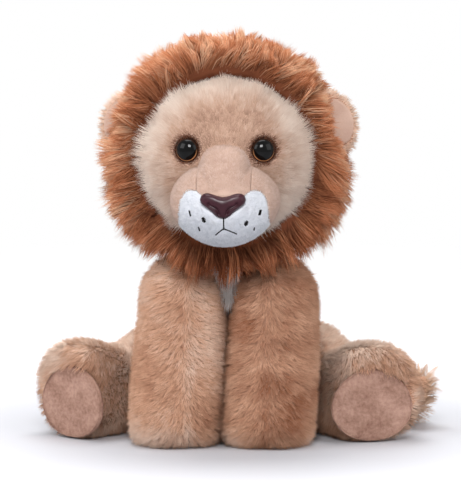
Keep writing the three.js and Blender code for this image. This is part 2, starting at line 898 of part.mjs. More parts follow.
// Tail, from the back of the torso round the lion's left foot
const tailRoot = new THREE.Vector3(0, tailRootBack, tailRise);
const tailPath = new THREE.CatmullRomCurve3([
  tailRoot,
  new THREE.Vector3(tailSweep * 0.25, tailRootBack + tailTrail * 0.85, tailRise),
  new THREE.Vector3(tailSweep * 0.6, tailRootBack + tailTrail, tailRise),
  new THREE.Vector3(tailSweep * 0.95, tailRootBack + tailTrail * 0.45, tailRise),
  new THREE.Vector3(tailSweep * 1.15, tailRootBack - tailTrail * 0.45, tailRise),
]);

const group = new THREE.Group();

function addNode(name, body, look) {
  const mesh = new THREE.Mesh(geometryOf(body), new THREE.MeshStandardMaterial(materials[look]));
  mesh.name = name;
  group.add(mesh);
  return mesh;
}

function mirrored(body) {
  return body.mirror([1, 0, 0]);
}

// Shared cutters
const shoulderRoom = solid(ball(shoulderRadius + jointGap, shoulder));
const shoulderRooms = shoulderRoom.add(mirrored(shoulderRoom));
const neckBall = solid(ball(neckRadius, neck));
const neckRoom = solid(ball(neckRadius + jointGap, neck));
const hipRooms = hipRoom(leftLimb).add(mirrored(hipRoom(rightLimb)));
const legLean = Math.atan2(frontPawForward - shoulderForward, shoulderRise + frontPawDrop);
const legBack = (shoulderRadius + jointGap) / Math.cos(legLean);
const legSpan = shoulderSpread + frontPawShift + frontLegHalfWidth + jointGap;
const legRoom = sidePrism([
  [legBack - shoulderForward, shoulderRise],
  [legBack + frontPawTuck - frontPawForward, -frontPawDrop],
  [-4 * overrun, -frontPawDrop],
  [-4 * overrun, shoulderRise],
], -legSpan, legSpan);

// Seat: the torso ends on the seat panel, and the pouch lies in a pocket above it
const seatTop = seatPanelThick + clearance;
const seatCutter = solid(block(
  new THREE.Vector3(-2 * overrun, -2 * overrun, -overrun),
  new THREE.Vector3(2 * overrun, 2 * overrun, seatTop),
));

function pouchForm(grow) {
  const geometry = stuffed({
    spine: new THREE.LineCurve3(
      new THREE.Vector3(0, 0, seatTop - pouchHeight / 3 - grow),
      new THREE.Vector3(0, 0, seatTop + pouchHeight + grow),
    ),
    side: xAxis,
    deep: yAxis,
    size: () => [pouchWidth / 2 + grow, pouchDepth / 2 + grow],
    startDome: pouchHeight * 0.6,
    endDome: pouchHeight * 0.6,
    steps: 2,
    sides: roundSides,
  });
  return solid(geometry);
}

const pouchSeat = solid(block(
  new THREE.Vector3(-overrun, -overrun, -overrun),
  new THREE.Vector3(overrun, overrun, seatTop + clearance),
));

// Chest panel, a wedge of white cloth between the shoulders, let into the chest
function chestOutline(grow) {
  const half = chestPanelWidth / 2 + grow;
  const point = chestPanelPoint / 2 + grow;
  return polygon([
    [-point, shoulderRise - overrun],
    [point, shoulderRise - overrun],
    [point, shoulderRise],
    [half, neckRise],
    [-half, neckRise],
    [-point, shoulderRise],
  ]);
}

const chestWedge = frontPrism(chestOutline(0), -4 * overrun, -neckForward)
  .subtract(solid(torsoForm(-chestPanelThick)));
const chestRoom = frontPrism(chestOutline(clearance), -4 * overrun, -neckForward + clearance)
  .subtract(solid(torsoForm(-chestPanelThick - clearance)));

// Tail seat
const tailEnd = tailPath.getPoint(1);
const tailEndWay = tailPath.getTangent(1);
const tailForm = (grow) => stuffed({
  spine: tailPath,
  deep: zAxis,
  size: () => [tailRadius + grow, tailRadius + grow],
  square: 2,
  steps: 14,
  sides: 10,
});
const tailRoom = solid(ball(tailRadius + jointGap, tailRoot)).add(solid(tailForm(jointGap)));

const torsoWhole = solid(torsoForm(0))
  .subtract(seatCutter)
  .subtract(aboveCollar)
  .subtract(neckRoom)
  .subtract(shoulderRooms)
  .subtract(legRoom)
  .subtract(hipRooms);

addNode('torso', torsoWhole.subtract(chestRoom).subtract(pouchForm(clearance)).subtract(tailRoom), 'fur');
addNode('chest_panel', torsoWhole.intersect(chestWedge), 'white');

const seatOutline = egg(seatPanelWidth / 2, seatPanelDepth / 2, 0);
addNode('seat_panel', solid(plate(seatOutline, seatPanelThick, seatPanelThick / 3)), 'fur');
addNode('pellet_pouch', pouchForm(0).subtract(pouchSeat), 'filling');
addNode('neck_stuffing', neckBall, 'filling');

// Head, with rooms for the stems of the eyes and the nose
const leftEye = eyePlace(1);
const rightEye = eyePlace(-1);
const inPlace = (geometry, matrix) => solid(geometry.clone().applyMatrix4(matrix));
const eyeSocket = disc(eyeDiameter / 2 + clearance, -clearance, overrun);
const eyeRoom = stemRoom(eyeStemRadius, eyeStemLength, washerRadius);

let head = solid(headForm(0)).subtract(neckRoom).subtract(belowHead);
[leftEye, rightEye].forEach((place) => {
  head = head.subtract(inPlace(eyeSocket, place)).subtract(inPlace(eyeRoom, place));
});
addNode('head', head, 'face');

addNode('eye_left', inPlace(eyeForm(), leftEye), 'eye');
addNode('eye_right', inPlace(eyeForm(), rightEye), 'eye');
addNode('eye_washer_left', inPlace(washerForm(eyeStemRadius, washerRadius), leftEye), 'plastic');
addNode('eye_washer_right', inPlace(washerForm(eyeStemRadius, washerRadius), rightEye), 'plastic');

// Muzzle, cut into its pattern pieces
const headRoom = solid(headForm(clearance));
const nosePocket = plate(new THREE.Shape(noseOutline(clearance).map((p) => new THREE.Vector2(p.x, p.y))), overrun);
nosePocket.translate(0, 0, -clearance);
const muzzle = muzzleForm(0)
  .subtract(headRoom)
  .subtract(inPlace(nosePocket, nosePlace))
  .subtract(inPlace(eyeSocket, leftEye))
  .subtract(inPlace(eyeSocket, rightEye));
const snoutWedge = frontPrism(snoutOutline(-seam), -4 * overrun, overrun);
const snoutRoom = frontPrism(snoutOutline(seam), -4 * overrun, overrun);
const bridgeHalf = bridgeWidth / 2;
const bridgeStrip = (half) => solid(block(
  new THREE.Vector3(-half, -4 * overrun, headRise - muzzleHeight),
  new THREE.Vector3(half, overrun, headRise + muzzleHeight),
));
const leftHalf = solid(block(
  new THREE.Vector3(0, -4 * overrun, -overrun),
  new THREE.Vector3(4 * overrun, overrun, 6 * overrun),
));
const stemPlace = stemRoom(noseStemRadius, noseStemLength, noseWasherRadius);
addNode('snout', muzzle.intersect(snoutWedge).subtract(inPlace(stemPlace, nosePlace)), 'white');
const tanPart = muzzle.subtract(snoutRoom).subtract(inPlace(stemPlace, nosePlace));
addNode('muzzle_bridge', tanPart.intersect(bridgeStrip(bridgeHalf - seam)), 'velour');
const cheeks = tanPart.subtract(bridgeStrip(bridgeHalf + seam));
addNode('muzzle_cheek_left', cheeks.intersect(leftHalf), 'velour');
addNode('muzzle_cheek_right', cheeks.subtract(leftHalf), 'velour');

// Nose
const noseStem = solid(disc(noseStemRadius, -noseStemLength, noseDepth / 2));
const noseBody = solid(noseForm()).add(noseStem).subtract(nostril(1)).subtract(nostril(-1));
addNode('nose', noseBody.transform(nosePlace.toArray()), 'nose');
addNode('nose_washer', inPlace(washerForm(noseStemRadius, noseWasherRadius), nosePlace), 'plastic');

// Mane
const ears = [1, -1].map((side) => earRoom(side));
const muzzleRoom = muzzleForm(clearance);
const splitFront = solid(block(
  new THREE.Vector3(-4 * overrun, -maneBack - seam, 0),
  new THREE.Vector3(4 * overrun, 4 * overrun, 8 * overrun),
));
const splitBack = solid(block(
  new THREE.Vector3(-4 * overrun, -4 * overrun, 0),
  new THREE.Vector3(4 * overrun, -maneBack + seam, 8 * overrun),
));
const tight = clearance / maneInner;
const crownEdge = crownAngle * degrees;
const bibEdge = Math.PI - bibAngle * degrees;
const trimmed = (geometry) => solid(geometry)
  .subtract(headRoom)
  .subtract(splitFront)
  .subtract(muzzleRoom)
  .subtract(ears[0])
  .subtract(ears[1]);
addNode('mane_crown', trimmed(maneRing(-crownEdge, crownEdge, 20)), 'mane');
const sideMane = maneRing(crownEdge + tight, bibEdge - tight, 15);
addNode('mane_side_left', trimmed(sideMane), 'mane');
const rightMane = maneRing(-bibEdge + tight, -crownEdge - tight, 15);
addNode('mane_side_right', trimmed(rightMane), 'mane');
const bibRear = -neckForward - bibBack;
const bibRoom = sidePrism([
  [bibRear, 0],
  [2 * overrun, 0],
  [2 * overrun, neckRise + bibRoot],
  [-maneBack, neckRise + bibRoot],
  [bibRear, neckRise],
], -2 * overrun, 2 * overrun);
addNode('mane_bib', trimmed(maneRing(bibEdge, Math.PI * 2 - bibEdge, 14)).subtract(bibRoom), 'mane');
addNode('mane_back', solid(maneBackForm())
  .subtract(headRoom)
  .subtract(splitBack)
  .subtract(ears[0])
  .subtract(ears[1])
  .subtract(neckRoom)
  .subtract(belowHead), 'mane');

// Ears
[['left', 1], ['right', -1]].forEach(([name, side]) => {
  const place = earPlace(side);
  const lift = new THREE.Matrix4().makeTranslation(0, 0, (earThick - liningThick) / 2 + liningProud);
  const lining = (grow) => earForm(liningWidth, liningLength, liningThick, liningRise, grow).applyMatrix4(lift);
  const shell = solid(earForm(earWidth, earLength, earThick, -earThick / 2, 0)).subtract(solid(lining(clearance)));
  addNode(`ear_${name}`, shell.transform(place.toArray()), 'fur');
  addNode(`ear_lining_${name}`, inPlace(lining(0), place), 'velour');
});

// Legs
const frontLeg = (shift) => solid(frontLegForm(shift)).subtract(floorCutter);
addNode('front_leg_left', frontLeg(-frontPawShift), 'fur');
addNode('front_leg_right', mirrored(frontLeg(frontPawShift)), 'fur');

const soleOutline = (grow) => egg(soleWidth / 2 + grow, soleHeight / 2 + grow, soleNarrowShare);
[['left', 1, leftLimb], ['right', -1, rightLimb]].forEach(([name, side, limb]) => {
  const place = solePlace(limb).multiply(new THREE.Matrix4().makeTranslation(0, soleRise, -soleSink));
  const seat = plate(soleOutline(clearance), overrun);
  seat.translate(0, 0, -clearance);
  const leg = solid(hindLegForm(limb, 0))
    .subtract(floorCutter)
    .subtract(hipCutter(limb))
    .subtract(inPlace(seat, place));
  const pad = inPlace(plate(soleOutline(0), soleThick, soleBevel), place);
  addNode(`hind_leg_${name}`, side > 0 ? leg : mirrored(leg), 'fur');
  addNode(`sole_pad_${name}`, side > 0 ? pad : mirrored(pad), 'sole');
});

// Tail and its tuft
addNode('tail', solid(tailForm(0)).add(solid(ball(tailRadius, tailRoot))), 'fur');

const tuftStart = tailEnd.clone().addScaledVector(tailEndWay, clearance);
const tuftWay = tailEndWay.clone().multiplyScalar(tuftLength).setZ(tuftLift);
const tuftPath = new THREE.QuadraticBezierCurve3(
  tuftStart,
  tuftStart.clone().addScaledVector(tailEndWay, tuftLength / 2),
  tuftStart.clone().add(tuftWay),
);
addNode('tail_tuft', solid(stuffed({
  spine: tuftPath,
  deep: zAxis,
  size: (t) => [tuftRadius * fromTable(tuftShares, t), tuftRadius * fromTable(tuftShares, t)],
  shift: (t) => [0, (tuftRadius - tailRadius) * fromTable(tuftRiseShares, t)],
  endDome: tuftLength / 3,
  steps: 8,
  sides: 16,
})).subtract(floorCutter), 'mane');

export default group;
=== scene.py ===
"""A sitting plush lion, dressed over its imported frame: stuffed skins, pile, mane, eyes and nose."""
import math

import bmesh
import bpy
import numpy as np
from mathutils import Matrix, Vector
from mathutils.bvhtree import BVHTree


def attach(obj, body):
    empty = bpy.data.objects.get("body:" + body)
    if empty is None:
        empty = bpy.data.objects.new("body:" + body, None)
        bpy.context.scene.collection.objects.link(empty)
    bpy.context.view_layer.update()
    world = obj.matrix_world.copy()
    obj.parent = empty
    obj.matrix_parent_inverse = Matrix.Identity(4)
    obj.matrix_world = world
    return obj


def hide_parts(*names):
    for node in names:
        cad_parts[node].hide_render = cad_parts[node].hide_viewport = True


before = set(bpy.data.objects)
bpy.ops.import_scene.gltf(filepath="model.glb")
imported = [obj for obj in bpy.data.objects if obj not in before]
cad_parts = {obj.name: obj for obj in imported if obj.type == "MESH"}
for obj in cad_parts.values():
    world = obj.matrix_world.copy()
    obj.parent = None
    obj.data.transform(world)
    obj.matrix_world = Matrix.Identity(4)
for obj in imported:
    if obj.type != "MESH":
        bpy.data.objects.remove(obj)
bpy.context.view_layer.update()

MM = 0.001
SIDES = (("left", 1), ("right", -1))
VECTOR = "FLOAT_VECTOR"
WHITE = (1, 1, 1, 1)
UP = np.array([0, 0, 1.0])


# Small tools for node trees

def place(tree, kind, inputs=None, **settings):
    """A node with its settings, and its inputs set or linked by name or number."""
    made = tree.nodes.new(kind)
    for key, value in settings.items():
        setattr(made, key, value)
    for key, value in (inputs or {}).items():
        if isinstance(key, int):
            socket = made.inputs[key]
        else:
            socket = next(s for s in made.inputs if s.name == key and s.enabled)
        if isinstance(value, bpy.types.NodeSocket):
            tree.links.new(value, socket)
        else:
            socket.default_value = value
    return made


def number(tree, operation, *values):
    return place(tree, "ShaderNodeMath", dict(enumerate(values)), operation=operation).outputs[0]


def vector(tree, operation, a, b=None):
    """A vector made of one or two others. SCALE takes a number as its second value."""
    inputs = {0: a}
    if b is not None:
        inputs[3 if operation == "SCALE" else 1] = b
    return place(tree, "ShaderNodeVectorMath", inputs, operation=operation).outputs[0]


def distance(tree, a, b):
    inputs = {0: a, 1: tuple(b)}
    return place(tree, "ShaderNodeVectorMath", inputs, operation="DISTANCE").outputs["Value"]


def combined(tree, x, y, z=0.0):
    return place(tree, "ShaderNodeCombineXYZ", {0: x, 1: y, 2: z}).outputs[0]


def separated(tree, value):
    """A vector's parts, by the names X, Y and Z."""
    return place(tree, "ShaderNodeSeparateXYZ", {0: value}).outputs


def ranged(tree, value, low, high, to_low=0.0, to_high=1.0):
    """A number between low and high, spread evenly from to_low to to_high."""
    inputs = {"Value": value, "From Min": low, "From Max": high,
              "To Min": to_low, "To Max": to_high}
    return place(tree, "ShaderNodeMapRange", inputs).outputs[0]


def blended(tree, share, a, b):
    """A colour that runs from a to b."""
    return place(tree, "ShaderNodeMix", {0: share, 6: a, 7: b}, data_type="RGBA").outputs[2]


def in_object(tree):
    return place(tree, "ShaderNodeTexCoord").outputs["Object"]


def marked(tree, name, kind="FLOAT"):
    """A named attribute of the geometry."""
    return place(tree, "GeometryNodeInputNamedAttribute", {"Name": name}, data_type=kind).outputs[0]


def mark(tree, geometry, name, value, kind="FLOAT", domain="POINT"):
    """Writes a named attribute on the geometry."""
    inputs = {"Geometry": geometry, "Name": name, "Value": value}
    made = place(tree, "GeometryNodeStoreNamedAttribute", inputs, data_type=kind, domain=domain)
    return made.outputs[0]


def chance(tree, low, high, seed, kind="FLOAT"):
    """A random number or vector with a fixed seed."""
    inputs = {"Min": low, "Max": high, "Seed": seed}
    made = place(tree, "FunctionNodeRandomValue", inputs, data_type=kind)
    return next(s for s in made.outputs if s.enabled)


def any_way(tree, seed):
    return chance(tree, (-1, -1, -1), (1, 1, 1), seed, VECTOR)


# Finishes

NAP_HEIGHT = 0.0006
FINE_SHARE, BROAD_SHARE = 0.45, 0.55
TIP_BRIGHTNESS = 1.08


def tint(red, green, blue):
    """A colour written as it shows, from 0 to 255, in the form a shader wants."""
    return tuple(((c / 255 + 0.055) / 1.055) ** 2.4 for c in (red, green, blue)) + (1,)


def ramp(tree, value, stops):
    made = place(tree, "ShaderNodeValToRGB", {0: value})
    made.color_ramp.elements[0].position = stops[0][0]
    made.color_ramp.elements[0].color = stops[0][1]
    made.color_ramp.elements[1].position = stops[-1][0]
    made.color_ramp.elements[1].color = stops[-1][1]
    for position, colour in stops[1:-1]:
        made.color_ramp.elements.new(position).color = colour
    return made.outputs["Color"]


def finish_of(name, **sockets):
    """A new material with the shader's sockets set by name."""
    finish = bpy.data.materials.new(name)
    finish.use_nodes = True
    shader = finish.node_tree.nodes["Principled BSDF"]
    for key, value in sockets.items():
        shader.inputs[key.replace("_", " ")].default_value = value
    return finish, finish.node_tree, shader


def pile_finish(name, dark, middle, light, root):
    """Hair whose colour runs from dark to light by shade, and grows brighter toward its tip: its
    darker root is painted shade among the hairs, partly the fur's own lighter tips.
    """
    dark, middle, light = tint(*dark), tint(*middle), tint(*light)
    finish, tree, shader = finish_of(name, Roughness=0.75, Specular_IOR_Level=0.05,
                                     Sheen_Weight=0.25, Sheen_Roughness=0.5, Sheen_Tint=middle)
    parts = separated(tree, place(tree, "ShaderNodeUVMap", uv_map="OFBake").outputs[0])
    colour = ramp(tree, parts["X"], [(0, dark), (0.5, middle), (1, light)])
    rise = ranged(tree, parts["Y"], 0.0, 1.0, root, TIP_BRIGHTNESS)
    tree.links.new(vector(tree, "SCALE", colour, rise), shader.inputs["Base Color"])
    return finish


def cloth_finish(name, dark, light, grain=1800, patch=70, depth=0.25, sheen=0.4):
    """Short velour: a fine nap with soft, broad patches where it has been stroked."""
    dark, light = tint(*dark), tint(*light)
    finish, tree, shader = finish_of(name, Roughness=0.9, Specular_IOR_Level=0.1,
                                     Sheen_Weight=sheen, Sheen_Roughness=0.45, Sheen_Tint=light)
    where = in_object(tree)
    nap = place(tree, "ShaderNodeTexNoise", {
        "Vector": where, "Scale": grain, "Detail": 3.0, "Roughness": 0.6}).outputs[0]
    broad = place(tree, "ShaderNodeTexNoise", {
        "Vector": where, "Scale": patch, "Detail": 2.0}).outputs[0]
    mixed = number(tree, "MULTIPLY_ADD", nap, FINE_SHARE,
                   number(tree, "MULTIPLY", broad, BROAD_SHARE))
    tree.links.new(ramp(tree, mixed, [(0.3, dark), (0.7, light)]), shader.inputs["Base Color"])
    bump = place(tree, "ShaderNodeBump", {"Strength": depth, "Distance": NAP_HEIGHT, "Height": nap})
    tree.links.new(bump.outputs[0], shader.inputs["Normal"])
    return finish


# The last number of each pile finish is how dark its hair is at the root: painted shade among the
# hairs, partly the fur's own lighter tips
body_pile = pile_finish("body pile", (160, 102, 72), (226, 178, 148), (254, 226, 206), 0.8)
face_pile = pile_finish("face pile", (98, 54, 34), (202, 168, 147), (244, 228, 215), 0.9)
mane_hair = pile_finish("mane hair", (100, 50, 29), (206, 131, 91), (250, 208, 172), 0.42)
tuft_hair = pile_finish("tail tuft hair", (206, 154, 122), (240, 200, 170), (252, 230, 210), 0.85)
# The chest pile is a darker, warmer white than the snout's: painted shade and painted warm bounce
# light between the front legs
chest_pile = pile_finish("chest pile", (150, 136, 130), (208, 198, 192), (240, 234, 230), 0.85)
white_pile = pile_finish("white pile", (176, 180, 188), (214, 217, 223), (240, 241, 245), 0.9)
velour_pile = pile_finish("velour nap", (174, 146, 131), (196, 168, 154), (214, 190, 178), 0.9)

body_backing = cloth_finish("body backing", (174, 128, 104), (204, 160, 136))
# The mane's backing is dark brown, as painted shade in the gaps between its hairs
mane_backing = cloth_finish("mane backing", (84, 44, 26), (118, 66, 42))
muzzle_velour = cloth_finish("muzzle velour", (176, 146, 130), (206, 178, 163))
white_velour = cloth_finish("white velour", (204, 206, 214), (224, 226, 232))
sole_velour = cloth_finish("sole velour", (124, 90, 76), (184, 148, 132), grain=420, depth=1.0)
lining_velour = cloth_finish("ear lining", (186, 154, 138), (208, 178, 162))
filling_cloth = cloth_finish("filling", (222, 222, 218), (244, 244, 240))
black_thread = cloth_finish("black thread", (10, 6, 6), (24, 18, 18), grain=3000, sheen=0.0)


def face_backing(eyes, near, far):
    """The cloth of the face, which is dark brown close round the eyes: partly an airbrushed rim,
    partly painted shade round the set-in eyes.
    """
    finish = cloth_finish("face backing", (196, 160, 140), (220, 188, 168))
    tree = finish.node_tree
    colour = tree.nodes["Principled BSDF"].inputs["Base Color"]
    plain = colour.links[0].from_socket
    where = in_object(tree)
    to_eye = number(tree, "MINIMUM", *[distance(tree, where, eye) for eye in eyes])
    dark = ranged(tree, to_eye, far, near)
    tree.links.new(blended(tree, dark, plain, tint(44, 24, 17)), colour)
    return finish


# Skins

START_IN, SWELL = 1.6 * MM, 2.2 * MM
PRESSURE, CLOTH_STEPS, LEAST_HOLD = 4, 20, 0.02
MERGED = 0.000001
FARTHEST, OFF_SURFACE = 0.03, 0.0005


def plain_mesh(source):
    """What an object looks like with its modifiers, as a plain mesh."""
    bpy.context.view_layer.update()
    depsgraph = bpy.context.evaluated_depsgraph_get()
    return bpy.data.meshes.new_from_object(source.evaluated_get(depsgraph))


def in_scene(name, data):
    made = bpy.data.objects.new(name, data)
    bpy.context.scene.collection.objects.link(made)
    return made


def show(name, mesh, body):
    made = in_scene(name, mesh)
    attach(made, body)
    return made


def vertices(mesh):
    """Positions and normals of a mesh's vertices."""
    point = np.zeros(len(mesh.vertices) * 3)
    normal = np.zeros(len(mesh.vertices) * 3)
    mesh.vertices.foreach_get("co", point)
    mesh.vertex_normals.foreach_get("vector", normal)
    return point.reshape(-1, 3), normal.reshape(-1, 3)


def unit(vectors):
    return vectors / np.maximum(np.linalg.norm(vectors, axis=1, keepdims=True), 1e-9)


def smooth(low, high, value):
    """Rises softly from 0 at low to 1 at high."""
    t = np.clip((value - low) / (high - low), 0, 1)
    return t * t * (3 - 2 * t)


def no_seam(points, normals):
    return 0 * points[:, 0]


def swell(draft, seam_share):
    """Runs the skin as cloth pressed outward by its filling, and held back at the seams."""
    points, normals = vertices(draft.data)
    draft.data.vertices.foreach_set("co", (points - START_IN * normals).ravel())
    held = draft.vertex_groups.new(name="seams")
    for i, share in enumerate(seam_share(points, normals)):
        if share > LEAST_HOLD:
            held.add([i], float(share), "REPLACE")
    cloth = draft.modifiers.new("cloth", "CLOTH")
    cloth.settings.use_pressure = True
    cloth.settings.uniform_pressure_force = PRESSURE
    cloth.settings.effector_weights.gravity = 0
    cloth.settings.vertex_group_mass = held.name
    for step in range(1, CLOTH_STEPS + 1):
        bpy.context.scene.frame_set(step)
    pressed, _ = vertices(plain_mesh(draft))
    draft.modifiers.remove(cloth)
    bpy.context.scene.frame_set(1)
    began = points - START_IN * normals
    move = pressed - began
    far = np.maximum(np.linalg.norm(move, axis=1, keepdims=True), 1e-9)
    draft.data.vertices.foreach_set("co", (began + move * np.minimum(1, SWELL / far)).ravel())


def skin(node, finish, body, grain, soften=4, seam_share=None, fuller=0.0):
    """A closed, evenly meshed skin in the form of a node. With a seam share it swells as cloth."""
    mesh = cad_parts[node].data.copy()
    work = bmesh.new()
    work.from_mesh(mesh)
    bmesh.ops.remove_doubles(work, verts=work.verts, dist=MERGED)
    work.to_mesh(mesh)
    work.free()
    draft = in_scene(node + "_draft", mesh)
    even = draft.modifiers.new("even", "REMESH")
    even.mode = "VOXEL"
    even.voxel_size = grain
    even.use_smooth_shade = True
    soft = draft.modifiers.new("soft", "SMOOTH")
    soft.factor = 0.5
    soft.iterations = soften
    if seam_share is not None:
        even.voxel_size = 2 * grain
        coarse = plain_mesh(draft)
        draft.modifiers.clear()
        draft.data = coarse
        swell(draft, seam_share)
        finer = draft.modifiers.new("finer", "SUBSURF")
        finer.levels = finer.render_levels = 1
    made = plain_mesh(draft)
    bpy.data.objects.remove(draft)
    points, normals = vertices(made)
    made.vertices.foreach_set("co", (points + fuller * normals).ravel())
    made.materials.clear()
    made.materials.append(finish)
    made.name = node + "_skin"
    piece = show(node + "_skin", made, body)
    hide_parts(node)
    return piece


def obstacle(spared):
    """The other nodes' surfaces, as one tree to cast at."""
    points, faces = [], []
    for name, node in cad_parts.items():
        if name in spared:
            continue
        start = len(points)
        points += [v.co[:] for v in node.data.vertices]
        faces += [[start + i for i in face.vertices] for face in node.data.polygons]
    return BVHTree.FromPolygons(points, faces)


def measured(piece, *spared):
    """A skin's points and normals, and how far a hair goes from each before a node not spared."""
    tree = obstacle(spared)
    points, normals = vertices(piece.data)
    room = np.full(len(points), FARTHEST)
    for i, (point, normal) in enumerate(zip(points, normals)):
        way = Vector(normal)
        hit, faced, _, away = tree.ray_cast(Vector(point) + way * OFF_SURFACE, way, FARTHEST)
        if hit is not None:
            room[i] = 0 if faced.dot(way) > 0 else away
    return points, normals, room


def kept(room, full, least):
    """The share of its length that a hair keeps where it has less room than full."""
    return np.clip(room / full, least, 1)


def drift(points, size, seed):
    """A slow change over a surface, from -1 to 1, as where pile has been stroked both ways."""
    waves = np.random.default_rng(seed)
    total = np.zeros(len(points))
    for octave in (1.0, 1.9, 3.1):
        for _ in range(4):
            way = unit(waves.normal(size=(1, 3)))[0]
            phase = points @ way * 2 * math.pi * octave / size + waves.uniform(0, 6.3)
            total += np.sin(phase) / octave
    return np.clip(total / 3, -1, 1)


def write_marks(piece, lay, length, shade, cover):
    """Writes which way the pile lies, how long and how pale it is, and where it grows."""
    count = len(piece.data.vertices)
    normals = vertices(piece.data)[1]
    inward = np.minimum(np.sum(normals * lay, axis=1, keepdims=True), 0)
    found = piece.data.attributes.new("lay", VECTOR, "POINT")
    found.data.foreach_set("vector", unit(lay - inward * normals).ravel())
    for name, value in (("length", length), ("shade", shade), ("cover", cover)):
        found = piece.data.attributes.new(name, "FLOAT", "POINT")
        found.data.foreach_set("value", np.array(np.broadcast_to(value, count), float))


# Pile and stitches

PILE_SIZES = [(name, "NodeSocketFloat") for name in (
    "Density", "Length", "Width", "Lean", "Stray", "Tuft", "Pull", "Tuft stray", "Wave", "Drop",
    "Strand", "Tone")]
PILE_SIZES += [("Steps", "NodeSocketInt"), ("Seed", "NodeSocketInt"),
               ("Finish", "NodeSocketMaterial")]
STITCH_SIZES = [("Stitch", "NodeSocketFloat"), ("Thread", "NodeSocketFloat"),
                ("Finish", "NodeSocketMaterial")]
TUFT_SEED_STEP = 11.0
TUFT_REACH, HAIR_REACH, HAIR_WIDTH = (0.85, 1.1), (0.62, 1.1), (0.8, 1.2)
HAIR_SHADES = {"Min": 0.02, "Max": 0.98}
ABOVE_FLOOR = 0.0004
BEND_POWER, CURL_TURN, SIDE_TONE = 1.5, 5.0, 0.006


def new_tree(name, sizes):
    """A tree with geometry in and out and a named input for each size, and those inputs."""
    tree = bpy.data.node_groups.new(name, "GeometryNodeTree")
    tree.interface.new_socket("Geometry", in_out="INPUT", socket_type="NodeSocketGeometry")
    for size, kind in sizes:
        tree.interface.new_socket(size, in_out="INPUT", socket_type=kind)
    tree.interface.new_socket("Geometry", in_out="OUTPUT", socket_type="NodeSocketGeometry")
    return tree, tree.nodes.new("NodeGroupInput").outputs


def end_tree(tree, geometry, finish):
    inputs = {"Geometry": geometry, "Material": finish}
    dressed = place(tree, "GeometryNodeSetMaterial", inputs).outputs[0]
    tree.links.new(dressed, tree.nodes.new("NodeGroupOutput").inputs[0])
    return tree


def moved(tree, geometry, **how):
    inputs = {"Geometry": geometry, **how}
    return place(tree, "GeometryNodeSetPosition", inputs).outputs[0]


def instanced(tree, points, instance, along, scale):
    """An instance on each point, with its own upright turned along a vector."""
    turn = place(tree, "FunctionNodeAlignRotationToVector", {"Vector": along}, axis="Z").outputs[0]
    return place(tree, "GeometryNodeInstanceOnPoints", {
        "Points": points, "Instance": instance, "Rotation": turn, "Scale": scale}).outputs[0]


